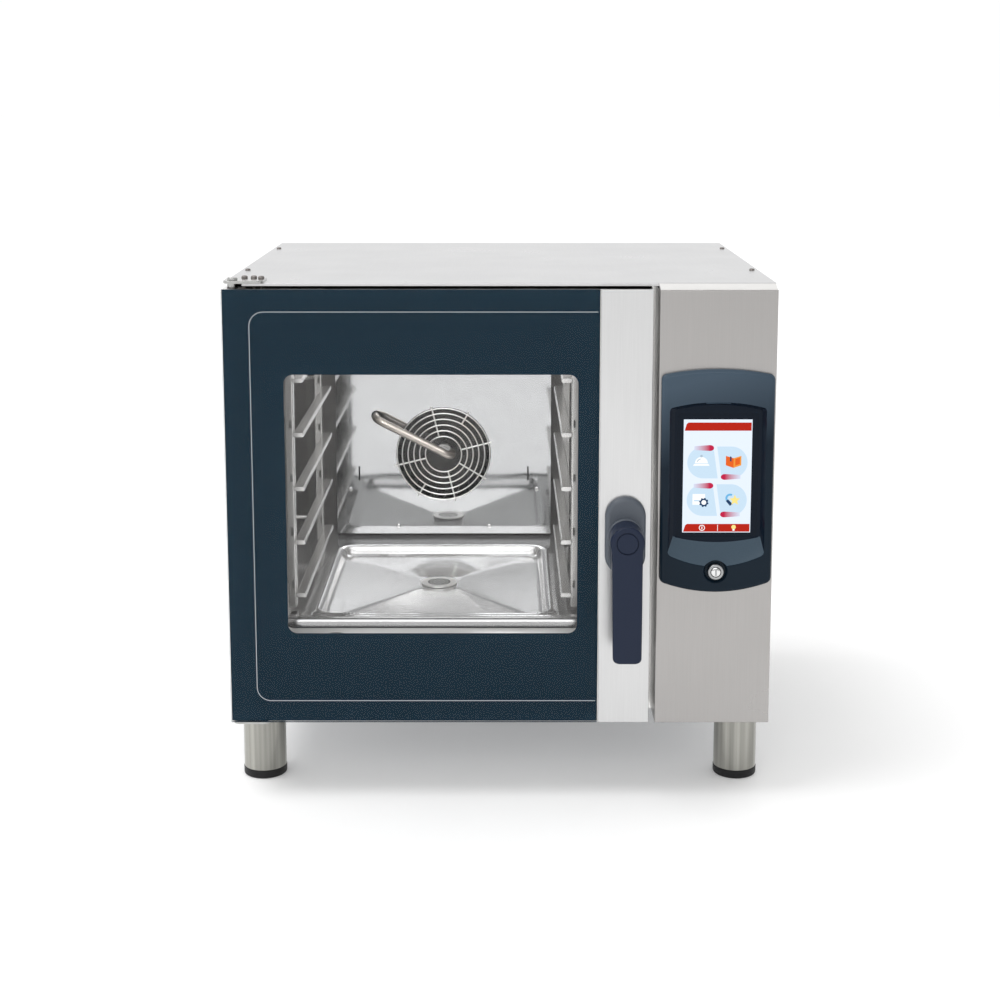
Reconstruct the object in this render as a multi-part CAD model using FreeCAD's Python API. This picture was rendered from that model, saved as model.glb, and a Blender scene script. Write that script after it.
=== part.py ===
"""Countertop combi steamer oven for five GN 2/3 containers, as separate pieces.

Frame: millimetres, +X to the right seen from the front, +Y towards the rear, +Z up. The origin is on the
floor, midway between the two sides and midway between the handle's face and the rear pipe's end.
Depths are counted backwards from the front face of the door, and y() turns a depth into a Y value.
"""
import FreeCAD
import Part
import math
import os

Vec = FreeCAD.Vector
ALONG_X, ALONG_Y, ALONG_Z = Vec(1, 0, 0), Vec(0, 1, 0), Vec(0, 0, 1)

# ---- driving dimensions -------------------------------------------------------------------------
WIDTH = 700.0
LEG_HEIGHT = 102.0
BODY_HEIGHT = 573.5
BODY_DEPTH = 605.0
HANDLE_REACH = 50.0
PIPE_REACH = 40.0
SHEET = 1.5
FIT = 0.3

HALF = WIDTH / 2
FLOOR_Z = LEG_HEIGHT
TOP_Z = LEG_HEIGHT + BODY_HEIGHT
MIDDLE_DEPTH = (BODY_DEPTH + PIPE_REACH - HANDLE_REACH) / 2

# door
DOOR_THICK = 46.0
DOOR_TOP = TOP_Z - 6.0
GLASS_THICK = 5.0
PRINT_THICK = 0.4
GLASS_RIGHT = 127.0
DOOR_RIGHT = 193.7
DOOR_LEFT = -HALF
WINDOW = (-273.7, 99.9, 221.0, 560.4)
WINDOW_RADIUS = 12.0
INNER_OPENING = (-283.0, 109.0, 214.0, 570.0)
INNER_PANE = (-294.0, 120.0, 203.0, 581.0)
INNER_PANE_DEPTH = 39.0
INNER_PANE_THICK = 4.0
STRIP_GAP = 0.7
HINGE_X = -HALF + 12.0
HINGE_DEPTH = DOOR_THICK / 2
HINGE_PIN_R = 4.0
BUSH_R = 7.0
BUSH_HIGH = 14.0
HINGE_PLATE = 3.5
HINGE_PLATE_RIGHT = -298.0
HINGE_PLATE_FRONT = 10.0
HINGE_SCREWS = ((-326.0, 47.0), (-314.0, 47.0), (-304.0, 42.0))

# cavity
FRAME_DEPTH = 54.0
CAVITY_FRONT = FRAME_DEPTH + SHEET
CAVITY_BACK = 530.0
CAVITY_MID = -88.5
CAVITY_HALF = 218.0
CAVITY_LOW = 228.0
CAVITY_HIGH = 607.0
CAVITY_RADIUS = 20.0
CAVITY_LEFT = CAVITY_MID - CAVITY_HALF
CAVITY_RIGHT = CAVITY_MID + CAVITY_HALF
GASKET_OFFSET = 8.0
GASKET_WIDTH = 10.0
GASKET_DROP = 6.0
PAN_HALF = 152.0
PAN_FRONT, PAN_REAR = 70.0, 410.0
PAN_WALL = 12.0
PAN_SLOPE = 6.0
PAN_LEAN = 8.0
SUMP_HALF = 32.0
DRAIN_DEPTH = 272.0
DRAIN_Z = CAVITY_LOW - PAN_WALL - PAN_SLOPE
SIEVE_R = 25.5
SIEVE_HOLE_R = 1.9
SIEVE_HOLES = ((5.2, 6), (10.2, 12), (14.6, 18))
LAMP = (CAVITY_MID, 250.0)
LAMP_R = 30.0
PROBE = (300.0, 560.0)
PROBE_R = 3.0

# air baffle and fan
BAFFLE_DEPTH = 472.0
BAFFLE_HALF = 166.5
BAFFLE_LOW = CAVITY_LOW + 4.0
BAFFLE_HIGH = CAVITY_HIGH - 6.0
FAN_X = CAVITY_MID
FAN_Z = 359.0
INTAKE_R = 73.5
GUARD_WIRE_R = 1.1
GUARD_RINGS = (28.0, 37.0, 46.0, 55.0, 64.0, 72.0)
GUARD_SPOKES = ((104, 28), (59, 55), (14, 28), (-31, 28), (-76, 28), (-121, 55), (-166, 28), (149, 28))
BAFFLE_SCREWS = [(FAN_X + sx * 71, 244.0) for sx in (-1, 1)] + [(FAN_X + sx * 145, 303.0) for sx in (-1, 1)]
BAFFLE_SLOT_X = 131.0
BAFFLE_SLOT = (317.0, 339.0)
BAFFLE_FOLD = 24.0
SHAFT_R = 6.0
IMPELLER_R = 90.0
IMPELLER_FRONT, IMPELLER_BACK = 486.0, 522.0
BLADES = 24
BLADE_TURN = 28.0
COIL_R = 104.0
COIL_WIRE_R = 4.0
COIL_DEPTHS = (488.0, 500.0, 512.0)
COIL_LEG_X = 10.0
COIL_LEGS = [(FAN_X + sx * COIL_LEG_X, FAN_Z - math.sqrt(COIL_R ** 2 - COIL_LEG_X ** 2)) for sx in (-1, 1)]
MOTOR_R = 56.0
MOTOR_FRONT, MOTOR_BACK = 546.0, 598.0
MOTOR_RIBS = 20
MOTOR_FLANGE_HALF = 62.0
MOTOR_POST = 38.0
TUBE_START = (-192.0, 419.0)
TUBE_R = 6.0
TUBE_BORE_R = 4.6
TUBE_BEND = 14.0
TUBE_REACH = 26.0

# racks
LEVELS = 5
LEVEL_PITCH = 72.6
FIRST_LEVEL = 247.5
POST_IN = 183.3
POST_WIDE = 10.7
POST_DEEP = 18.0
RAIL_TIP = 170.0
RAIL_HIGH = 5.5
POST_DEPTHS = (80.0, 428.0)
POST_LOW = FIRST_LEVEL - 14.0
POST_HIGH = FIRST_LEVEL + (LEVELS - 1) * LEVEL_PITCH + 40.0
RAIL_SHEET = 1.2
SLOT_HALF = 1.6
SLOT_LONG = 11.0
STUD_R = 4.0
STUD_HEIGHTS = (FIRST_LEVEL + 20, FIRST_LEVEL + 20 + 3 * LEVEL_PITCH)

# control side
FASCIA_LEFT = 201.5
FASCIA_TOP = TOP_Z - 7.0
PARTITION_X = 173.0
BEZEL_LEFT, BEZEL_RIGHT = 204.5, 348.0
BEZEL_MID = (BEZEL_LEFT + BEZEL_RIGHT) / 2
BEZEL_PROUD = 9.0
BEZEL_LOW = (293.0, 279.4)
BEZEL_HIGH = (561.7, 569.2)
RECESS_FRONT = (214.5, 338.5, 328.0, 313.7, 521.0, 528.0)
RECESS_BACK = (221.5, 333.0, 351.0, 343.5, 518.0, 523.0)
SCREEN_FLOOR = 2.0
SCREEN = (225.0, 329.0, 352.0, 513.0)
SCREEN_CUT_OUT = (222.0, 331.0, 348.0, 516.0)
KNOB_Z = 307.6
KNOB_R = 10.0
KNOB_FACE = 13.0
KNOB_LONG = 7.2
STEM_R = 3.0
DISH_R = (16.0, 13.0)

# handle
PIVOT_X = (GLASS_RIGHT + 0.7 + DOOR_RIGHT) / 2
PIVOT_Z = LEG_HEIGHT + 252.4
LEVER_LENGTH = 157.0
ARM_HALF = 19.0
HUB_R = 21.5
CAP_R = 14.0
ROSE_HALF = 26.0
ROSE_BELOW, ROSE_ABOVE = 53.0, 50.0
ROSE_PROUD = 10.0
SPINDLE_R = 5.0
SPINDLE_HOLE_R = 6.0
HOOK_DEPTH = CAVITY_FRONT + 3.0
HOOK_THICK = 5.0
HOOK_LONG = 23.0
HOOK_ROOM = 30.0

# legs
LEG_X = 318.8
LEG_R = 28.5
LEG_DEPTHS = (87.0, 540.0)
LEG_PLACES = {
    "foot_front_left": (-LEG_X, LEG_DEPTHS[0]),
    "foot_front_right": (LEG_X, LEG_DEPTHS[0]),
    "foot_rear_left": (-LEG_X, LEG_DEPTHS[1]),
    "foot_rear_right": (LEG_X, LEG_DEPTHS[1]),
}
FOOT_HIGH = 11.5
FOOT_SHANK_R = 13.0
FOOT_SHANK = 56.0

# casing and rear fittings
TRAY_HIGH = 18.0
COVER_FRONT = 21.0
COVER_FOLD = 4.0
COVER_LIP = 20.0
COVER_SCREW_IN = 9.0
COVER_SCREW_DEPTHS = (176.0, 498.0)
SCREW_HOLE_R = 2.0
HINGE_HOLE_R = 2.2
REAR_SCREWS = [(sx * (HALF - 12), z) for sx in (-1, 1) for z in (FLOOR_Z + 30, FLOOR_Z + 280, TOP_Z - 30)]
REAR_PIPES = {
    "drain": (CAVITY_MID, 150.0, 20.0),
    "vent": (52.0, 560.0, 25.0),
    "water": (250.0, 170.0, 13.2),
    "cable": (300.0, 140.0, 16.0),
}
NECK = 0.8
COLLAR_WALL = 1.0
DRAIN_BORE_R = REAR_PIPES["drain"][2] - NECK - 1.5
CABLE_BORE_R = 9.0
COOLER_X, COOLER_Z, COOLER_HALF = 270.0, 340.0, 40.0
COOLER_VANES = 7
COOLER_SLOTS = 7
COOLER_SLOT_PITCH = 10.0
BOARD_THICK = 1.6
BOARD_BLOCKS = ((215, 60, 260, 50, 22), (300, 40, 270, 40, 14), (360, 40, 300, 90, 12),
                (220, 50, 340, 50, 18), (220, 90, 420, 40, 8), (330, 24, 420, 24, 16))


# ---- helpers ------------------------------------------------------------------------------------
def y(depth):
    """Y of a point that lies this far behind the front face of the door."""
    return depth - MIDDLE_DEPTH


def box(x0, x1, d0, d1, z0, z1):
    """Block between two X values, two depths and two heights."""
    return Part.makeBox(x1 - x0, d1 - d0, z1 - z0, Vec(x0, y(d0), z0))


def disc(x, depth, z, radius, length, axis=ALONG_Y):
    """Cylinder that starts at a point and runs along an axis."""
    return Part.makeCylinder(radius, length, Vec(x, y(depth), z), axis)


def ring(x, depth, z, outer, inner, length, axis=ALONG_Y):
    """Round tube that starts at a point and runs along an axis."""
    return disc(x, depth, z, outer, length, axis).cut(disc(x, depth, z, inner, length, axis))


def rounded_wire(x0, x1, z0, z1, radius, depth):
    """Upright rectangle with round corners, seen from the front."""
    at = y(depth)
    k = radius * (1 - math.sqrt(0.5))
    corners = (
        ((x1 - radius, z0), (x1 - k, z0 + k), (x1, z0 + radius)),
        ((x1, z1 - radius), (x1 - k, z1 - k), (x1 - radius, z1)),
        ((x0 + radius, z1), (x0 + k, z1 - k), (x0, z1 - radius)),
        ((x0, z0 + radius), (x0 + k, z0 + k), (x0 + radius, z0)),
    )
    edges = []
    for i, corner in enumerate(corners):
        start, middle, end = (Vec(px, at, pz) for px, pz in corner)
        after = corners[(i + 1) % len(corners)][0]
        edges.append(Part.Arc(start, middle, end).toShape())
        edges.append(Part.LineSegment(end, Vec(after[0], at, after[1])).toShape())
    return Part.Wire(edges)


def panel(x0, x1, z0, z1, radius, d0, d1):
    """Upright plate with round corners between two depths."""
    face = Part.Face(rounded_wire(x0, x1, z0, z1, radius, d0))
    return face.extrude(Vec(0, d1 - d0, 0))


def flat_wire(x0, x1, d0, d1, z):
    """Level rectangle with sharp corners."""
    points = [Vec(x0, y(d0), z), Vec(x1, y(d0), z), Vec(x1, y(d1), z), Vec(x0, y(d1), z)]
    return Part.makePolygon(points + points[:1])


def soften(shape, radius, wanted):
    """Fillets the edges for which wanted(edge) is true."""
    edges = [e for e in shape.Edges if wanted(e)]
    return shape.makeFillet(radius, edges) if edges else shape


def at_depth(depth):
    """Edge test: the whole edge lies at one depth."""
    def test(edge):
        bounds = edge.BoundBox
        return abs(bounds.YMin - y(depth)) < 0.01 and abs(bounds.YMax - y(depth)) < 0.01
    return test


def at_height(z):
    """Edge test: the whole edge lies at one height."""
    def test(edge):
        return abs(edge.BoundBox.ZMin - z) < 0.01 and abs(edge.BoundBox.ZMax - z) < 0.01
    return test


def pipe(points, radius, bend, inner=0.0):
    """Round bar or tube along straight runs joined by tangent arcs."""
    points = [Vec(p[0], y(p[1]), p[2]) for p in points]
    edges, start = [], points[0]
    for before, corner, after in zip(points, points[1:], points[2:]):
        back = (before - corner).normalize()
        on = (after - corner).normalize()
        turn = math.pi - back.getAngle(on)
        reach = bend * math.tan(turn / 2)
        first, last = corner + back * reach, corner + on * reach
        inward = (back + on).normalize()
        middle = corner + inward * (bend / math.cos(turn / 2) - bend)
        edges.append(Part.LineSegment(start, first).toShape())
        edges.append(Part.Arc(first, middle, last).toShape())
        start = last
    edges.append(Part.LineSegment(start, points[-1]).toShape())
    path = Part.Wire(edges)

    def swept(r):
        section = Part.Wire(Part.makeCircle(r, points[0], points[1] - points[0]))
        return path.makePipeShell([section], True, False)

    return swept(radius).cut(swept(inner)) if inner else swept(radius)


def in_cells(shape, cells):
    """Parts of a shape that lie in each cell (x0, x1, z0, z1), as separate solids that meet face to face."""
    return [shape.common(box(x0, x1, 0, BODY_DEPTH, z0, z1)) for x0, x1, z0, z1 in cells]


def screw(x, depth, z, axis, head_r=3.6, head=2.4, shank_r=1.9, shank=8.0):
    """Round-headed cross-slot screw whose head's underside is at the point, the head along axis."""
    base = Vec(x, y(depth), z)
    body = Part.makeCylinder(head_r, head, base, axis)
    rim = [e for e in body.Edges if abs((e.CenterOfMass - base).dot(axis) - head) < 0.01]
    body = body.makeFillet(head * 0.6, [e for e in rim if e.Length > head_r][:1])
    body = body.fuse(Part.makeCylinder(shank_r, shank, base, axis * -1))
    slot = Part.makeBox(head_r * 1.1, 0.8, head)
    slot.translate(Vec(-head_r * 0.55, -0.4, 0))
    cross = slot.fuse(slot.rotated(Vec(0, 0, 0), ALONG_Z, 90))
    turn = FreeCAD.Rotation(ALONG_Z, axis)
    cross.Placement = FreeCAD.Placement(base + axis * (head * 0.45), turn)
    return body.cut(cross)


def save(name, *shapes):
    """Writes one node. Each solid of the node stays a solid of its own."""
    solids = [s for shape in shapes for s in shape.Solids]
    for solid in solids:
        if not solid.isValid() or solid.Volume <= 0:
            raise ValueError(f"{name} has a bad solid")
    whole = solids[0] if len(solids) == 1 else Part.makeCompound(solids)
    whole.exportStep(f"parts/{name}.step")


# ---- casing -------------------------------------------------------------------------------------
def cover_holes(side):
    """Screw holes along one side of the top cover."""
    x = side * (HALF - COVER_SCREW_IN)
    return [disc(x, depth, TOP_Z - 10, SCREW_HOLE_R, 20, ALONG_Z) for depth in COVER_SCREW_DEPTHS]


def make_casing():
    """Base tray, side panels, rear panel and top cover, all of folded sheet."""
    tray = box(-HALF + SHEET, HALF - SHEET, CAVITY_FRONT, BODY_DEPTH - SHEET, FLOOR_Z, FLOOR_Z + TRAY_HIGH)
    hollow = box(-HALF + 2 * SHEET, HALF - 2 * SHEET, CAVITY_FRONT + SHEET, BODY_DEPTH - 2 * SHEET,
                 FLOOR_Z + SHEET, FLOOR_Z + TRAY_HIGH + 1)
    save("base_tray", tray.cut(hollow))

    for name, side in (("left_side_panel", -1), ("right_side_panel", 1)):
        outer, inner = side * HALF, side * (HALF - SHEET)
        skin = box(min(outer, inner), max(outer, inner), CAVITY_FRONT, BODY_DEPTH - SHEET,
                   FLOOR_Z, TOP_Z - SHEET)
        lip_in = side * (HALF - COVER_LIP)
        lip = box(min(outer, lip_in), max(outer, lip_in), CAVITY_FRONT, BODY_DEPTH - SHEET,
                  TOP_Z - 2 * SHEET, TOP_Z - SHEET)
        front_in = side * (HALF - COVER_LIP / 2)
        front_lip = box(min(outer, front_in), max(outer, front_in), CAVITY_FRONT, CAVITY_FRONT + SHEET,
                        FLOOR_Z + TRAY_HIGH + 2, TOP_Z - SHEET)
        holes = cover_holes(side)
        save(name, skin.fuse([lip, front_lip]).removeSplitter().cut(Part.makeCompound(holes)))

    rear = box(-HALF, HALF, BODY_DEPTH - SHEET, BODY_DEPTH, FLOOR_Z, TOP_Z - SHEET)
    openings = [disc(x, BODY_DEPTH - 5, z, r + 0.5, 10) for x, z, r in REAR_PIPES.values()]
    reach = COOLER_SLOT_PITCH * (COOLER_SLOTS - 1) / 2
    for row in range(COOLER_SLOTS):
        z = COOLER_Z - reach + row * COOLER_SLOT_PITCH
        openings.append(panel(COOLER_X - reach, COOLER_X + reach, z - 2.5, z + 2.5, 2.4,
                              BODY_DEPTH - 5, BODY_DEPTH + 5))
    for x, z in REAR_SCREWS:
        openings.append(disc(x, BODY_DEPTH - 5, z, SCREW_HOLE_R, 10))
    save("rear_panel", rear.cut(Part.makeCompound(openings)))

    cover = box(-HALF, HALF, COVER_FRONT, BODY_DEPTH, TOP_Z - SHEET, TOP_Z)
    fold = box(-HALF, HALF, COVER_FRONT, COVER_FRONT + SHEET, TOP_Z - COVER_FOLD, TOP_Z)
    cover = cover.fuse(fold).removeSplitter()
    cover = soften(cover, 1.2, lambda e: at_height(TOP_Z)(e) and at_depth(COVER_FRONT)(e))
    notch = box(-HALF - 1, HINGE_X + 12, COVER_FRONT - 1, HINGE_DEPTH + 12, TOP_Z - 10, TOP_Z + 1)
    holes = cover_holes(-1) + cover_holes(1)
    holes += [disc(x, d, TOP_Z - 10, HINGE_HOLE_R, 20, ALONG_Z) for x, d in HINGE_SCREWS]
    save("top_cover", cover.cut(notch).cut(Part.makeCompound(holes)))


def make_screws():
    """Screws of the top cover and the rear panel, all alike."""
    screws = [screw(side * (HALF - COVER_SCREW_IN), d, TOP_Z, ALONG_Z)
              for side in (-1, 1) for d in COVER_SCREW_DEPTHS]
    screws += [screw(x, BODY_DEPTH, z, ALONG_Y, shank=5.0) for x, z in REAR_SCREWS]
    save("casing_screws", *screws)


def make_front_frame():
    """Flat stainless surround of the cavity mouth, with the slot that the latch enters."""
    plate = box(-HALF + SHEET, FASCIA_LEFT - 0.1, FRAME_DEPTH, CAVITY_FRONT, FLOOR_Z, TOP_Z - 8)
    mouth = panel(CAVITY_LEFT, CAVITY_RIGHT, CAVITY_LOW, CAVITY_HIGH, CAVITY_RADIUS,
                  FRAME_DEPTH - 1, CAVITY_FRONT + 1)
    slot = panel(PIVOT_X - 13, PIVOT_X + 12, PIVOT_Z - HOOK_ROOM, PIVOT_Z + HOOK_ROOM, 5,
                 FRAME_DEPTH - 1, CAVITY_FRONT + 1)
    left_in, right_in = CAVITY_LEFT + CAVITY_RADIUS, CAVITY_RIGHT - CAVITY_RADIUS
    low_in, high_in = CAVITY_LOW + CAVITY_RADIUS, CAVITY_HIGH - CAVITY_RADIUS
    bars = [(-HALF, HALF, 0, CAVITY_LOW), (-HALF, HALF, CAVITY_HIGH, TOP_Z),
            (-HALF, CAVITY_LEFT, CAVITY_LOW, CAVITY_HIGH), (CAVITY_RIGHT, HALF, CAVITY_LOW, CAVITY_HIGH)]
    corners = [(x0, x1, z0, z1) for x0, x1 in ((CAVITY_LEFT, left_in), (right_in, CAVITY_RIGHT))
               for z0, z1 in ((CAVITY_LOW, low_in), (high_in, CAVITY_HIGH))]
    save("front_frame", *in_cells(plate.cut(mouth).cut(slot), bars + corners))
    lip = box(PIVOT_X + 15, PIVOT_X + 38, CAVITY_FRONT, CAVITY_FRONT + 2, PIVOT_Z - 14, PIVOT_Z + 14)
    foot = box(PIVOT_X + 30, PIVOT_X + 38, CAVITY_FRONT + 2, CAVITY_FRONT + 12, PIVOT_Z - 14, PIVOT_Z + 14)
    save("door_striker", lip.fuse(foot).removeSplitter())


def make_fascia():
    """Folded front of the control side with its cut-outs, and the wall beside the cavity."""
    outer = box(FASCIA_LEFT, HALF, 0, FRAME_DEPTH, FLOOR_Z, FASCIA_TOP)
    outer = soften(outer, 1.2, at_depth(0))
    inner = box(FASCIA_LEFT + SHEET, HALF - SHEET, SHEET, FRAME_DEPTH + 1,
                FLOOR_Z + SHEET, FASCIA_TOP - SHEET)
    screen_hole = panel(*SCREEN_CUT_OUT, 4, -1, 5)
    knob_hole = disc(BEZEL_MID, -1, KNOB_Z, 5.0, 5)
    save("control_fascia", outer.cut(inner).cut(screen_hole).cut(knob_hole))
    wall = box(PARTITION_X, PARTITION_X + SHEET, CAVITY_FRONT, BODY_DEPTH - 2 * SHEET,
               FLOOR_Z + TRAY_HIGH + 1, TOP_Z - 10)
    notch = box(PARTITION_X - 1, PARTITION_X + 3, CAVITY_FRONT - 1, CAVITY_FRONT + 14,
                PIVOT_Z - HOOK_ROOM, PIVOT_Z + HOOK_ROOM)
    save("compartment_partition", wall.cut(notch))


# ---- cavity -------------------------------------------------------------------------------------
def make_cavity():
    """Liner of one bent sheet, back wall and floor with its pressed drain pan."""
    outer = panel(CAVITY_LEFT - SHEET, CAVITY_RIGHT + SHEET, CAVITY_LOW - 60, CAVITY_HIGH + SHEET,
                  CAVITY_RADIUS + SHEET, CAVITY_FRONT, CAVITY_BACK + SHEET)
    inner = panel(CAVITY_LEFT, CAVITY_RIGHT, CAVITY_LOW - 60 + SHEET, CAVITY_HIGH, CAVITY_RADIUS,
                  CAVITY_FRONT - 1, CAVITY_BACK + 2 * SHEET)
    below = box(-HALF, HALF, 0, BODY_DEPTH, CAVITY_LOW - 80, CAVITY_LOW - SHEET)
    liner = outer.cut(inner).cut(below)
    liner = liner.cut(disc(CAVITY_RIGHT - 5, PROBE[0], PROBE[1], PROBE_R + 0.2, 15, ALONG_X))
    liner = liner.cut(disc(LAMP[0], LAMP[1], CAVITY_HIGH - 5, LAMP_R + 0.2, 15, ALONG_Z))
    studs = []
    for side in (-1, 1):
        wall_x = CAVITY_MID + side * CAVITY_HALF
        for depth in POST_DEPTHS:
            for z in STUD_HEIGHTS:
                length = CAVITY_HALF - POST_IN - POST_WIDE - FIT
                axis = ALONG_X * -side
                studs.append(disc(wall_x, depth + POST_DEEP / 2, z, STUD_R, length, axis))
    left_in, right_in = CAVITY_LEFT + CAVITY_RADIUS, CAVITY_RIGHT - CAVITY_RADIUS
    high_in = CAVITY_HIGH - CAVITY_RADIUS
    cells = [(-HALF, left_in, 0, high_in), (right_in, HALF, 0, high_in), (left_in, right_in, high_in, TOP_Z),
             (-HALF, left_in, high_in, TOP_Z), (right_in, HALF, high_in, TOP_Z)]
    save("cavity_liner", *in_cells(liner, cells), *studs)

    back = panel(CAVITY_LEFT, CAVITY_RIGHT, CAVITY_LOW - 60, CAVITY_HIGH, CAVITY_RADIUS,
                 CAVITY_BACK, CAVITY_BACK + SHEET)
    back = back.cut(box(-HALF, HALF, 0, BODY_DEPTH, 0, CAVITY_LOW))
    vent_x, vent_z, vent_r = REAR_PIPES["vent"]
    holes = [disc(FAN_X, CAVITY_BACK - 5, FAN_Z, SHAFT_R + 2, 15),
             disc(vent_x, CAVITY_BACK - 5, vent_z, vent_r - 2, 15),
             disc(TUBE_START[0], CAVITY_BACK - 5, TUBE_START[1], TUBE_R + 0.4, 15)]
    holes += [disc(x, CAVITY_BACK - 5, z, COIL_WIRE_R + 0.3, 15) for x, z in COIL_LEGS]
    save("cavity_back_wall", back.cut(Part.makeCompound(holes)))
    save("cavity_floor", floor_sheet())


def pan_hollow(grow):
    """Space of the pressed pan: leaning walls, then four slopes that fall to the drain."""
    x0, x1 = CAVITY_MID - PAN_HALF - grow, CAVITY_MID + PAN_HALF + grow
    d0, d1 = PAN_FRONT - grow, PAN_REAR + grow
    rim = flat_wire(x0, x1, d0, d1, CAVITY_LOW)
    foot = flat_wire(x0 + PAN_LEAN, x1 - PAN_LEAN, d0 + PAN_LEAN, d1 - PAN_LEAN, CAVITY_LOW - PAN_WALL - grow)
    sump = flat_wire(CAVITY_MID - SUMP_HALF, CAVITY_MID + SUMP_HALF,
                     DRAIN_DEPTH - SUMP_HALF, DRAIN_DEPTH + SUMP_HALF, DRAIN_Z - grow)
    walls = Part.makeLoft([rim, foot], True, True)
    slopes = Part.makeLoft([foot, sump], True, True)
    return walls.fuse(slopes)


def floor_sheet():
    """Cavity floor with the pan pressed into it and a round drain hole."""
    flat = box(CAVITY_LEFT, CAVITY_RIGHT, CAVITY_FRONT, CAVITY_BACK + SHEET, CAVITY_LOW - SHEET, CAVITY_LOW)
    hollow = pan_hollow(0)
    sheet = flat.fuse(pan_hollow(SHEET)).cut(hollow)
    return sheet.cut(disc(CAVITY_MID, DRAIN_DEPTH, DRAIN_Z - 20, DRAIN_BORE_R, 40, ALONG_Z)).removeSplitter()


def make_drain():
    """Drain pipe from the pan to the rear wall, and the lift-out sieve."""
    x, z, radius = REAR_PIPES["drain"]
    route = [(x, DRAIN_DEPTH, DRAIN_Z - SHEET), (x, DRAIN_DEPTH, z), (x, BODY_DEPTH + PIPE_REACH, z)]
    collar = ring(x, BODY_DEPTH + 2, z, radius, radius - NECK - COLLAR_WALL, PIPE_REACH - 2)
    save("drain_pipe", pipe(route, radius - NECK, 28.0, DRAIN_BORE_R).fuse(collar).removeSplitter())
    sieve = disc(x, DRAIN_DEPTH, DRAIN_Z + FIT, SIEVE_R, 2.0, ALONG_Z)
    sieve = sieve.fuse(disc(x, DRAIN_DEPTH, DRAIN_Z - 5.0, DRAIN_BORE_R - FIT, 5.5, ALONG_Z))
    sieve = sieve.cut(disc(x, DRAIN_DEPTH, DRAIN_Z - 6.0, DRAIN_BORE_R - FIT - 1.2, 7.0, ALONG_Z))
    holes = [disc(x, DRAIN_DEPTH, DRAIN_Z - 1, SIEVE_HOLE_R, 6, ALONG_Z)]
    for radius_out, count in SIEVE_HOLES:
        for i in range(count):
            a = 2 * math.pi * i / count
            holes.append(disc(x + radius_out * math.cos(a), DRAIN_DEPTH + radius_out * math.sin(a),
                              DRAIN_Z - 1, SIEVE_HOLE_R, 6, ALONG_Z))
    save("drain_sieve", sieve.cut(Part.makeCompound(holes)))


def make_insulation():
    """Mineral wool slabs round the cavity."""
    drain_x, drain_z, drain_r = REAR_PIPES["drain"]
    d0, d1 = CAVITY_FRONT + 1, CAVITY_BACK
    z0, z1 = FLOOR_Z + TRAY_HIGH + 2, TOP_Z - 12
    left = box(-HALF + 2 * SHEET + 1, CAVITY_LEFT - SHEET - 1, d0 + SHEET, d1, z0, z1)
    right = box(CAVITY_RIGHT + SHEET + 1, PARTITION_X - 1, d0, d1, z0, z1)
    right = right.cut(box(PIVOT_X - 20, PARTITION_X, d0 - 1, d0 + 14,
                          PIVOT_Z - HOOK_ROOM, PIVOT_Z + HOOK_ROOM))
    right = right.cut(disc(CAVITY_RIGHT, PROBE[0], PROBE[1], 8, 60, ALONG_X))
    top = box(CAVITY_LEFT - SHEET, CAVITY_RIGHT + SHEET, d0, d1, CAVITY_HIGH + SHEET + 1, z1)
    top = top.cut(disc(LAMP[0], LAMP[1], CAVITY_HIGH, LAMP_R + 6, 80, ALONG_Z))
    low = box(CAVITY_LEFT - SHEET, CAVITY_RIGHT + SHEET, d0, d1, z0, DRAIN_Z - 12)
    channel = box(drain_x - drain_r - 4, drain_x + drain_r + 4, DRAIN_DEPTH - drain_r - 10, d1 + 1,
                  drain_z - drain_r - 4, DRAIN_Z)
    save("insulation", left, right, top, low.cut(channel))


def make_gasket():
    """Door seal round the cavity mouth, a hollow silicone profile that lies lower along the bottom."""
    front = DOOR_THICK + FIT
    rings = []
    for offset, d0, d1 in ((GASKET_OFFSET + GASKET_WIDTH, front, FRAME_DEPTH),
                           (GASKET_OFFSET, front - 1, FRAME_DEPTH + 1)):
        rings.append(panel(CAVITY_LEFT - offset, CAVITY_RIGHT + offset, CAVITY_LOW - offset - GASKET_DROP,
                           CAVITY_HIGH + offset, CAVITY_RADIUS + offset, d0, d1))
    outer, inner = rings
    gasket = soften(outer.cut(inner), 2.5, at_depth(front))
    left_in, right_in = CAVITY_LEFT + CAVITY_RADIUS, CAVITY_RIGHT - CAVITY_RADIUS
    low_in, high_in = CAVITY_LOW + CAVITY_RADIUS, CAVITY_HIGH - CAVITY_RADIUS
    columns = ((-HALF, left_in), (left_in, right_in), (right_in, HALF))
    rows = ((0, low_in), (low_in, high_in), (high_in, TOP_Z))
    cells = [(x0, x1, z0, z1) for x0, x1 in columns for z0, z1 in rows if (x0, z0) != (left_in, low_in)]
    save("door_gasket", *in_cells(gasket, cells))


def make_lamp_and_probe():
    """Ceiling lamp with its glass, and the air temperature probe."""
    x, depth = LAMP
    cup = disc(x, depth, CAVITY_HIGH + SHEET, LAMP_R + 4, 40, ALONG_Z)
    cup = cup.cut(disc(x, depth, CAVITY_HIGH, LAMP_R + 2, 39.5, ALONG_Z))
    bulb = disc(x, depth, CAVITY_HIGH + 12, 6, 29, ALONG_Z)
    save("cavity_lamp", cup.fuse(bulb))
    lens = disc(x, depth, CAVITY_HIGH - 3, LAMP_R, 6, ALONG_Z)
    save("lamp_glass", soften(lens, 2.0, at_height(CAVITY_HIGH - 3)))
    tip = disc(CAVITY_RIGHT - 32, PROBE[0], PROBE[1], PROBE_R, 62, ALONG_X)
    nut = disc(CAVITY_RIGHT + SHEET, PROBE[0], PROBE[1], 6.5, 6, ALONG_X)
    save("temperature_probe", tip.fuse(nut))


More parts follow.
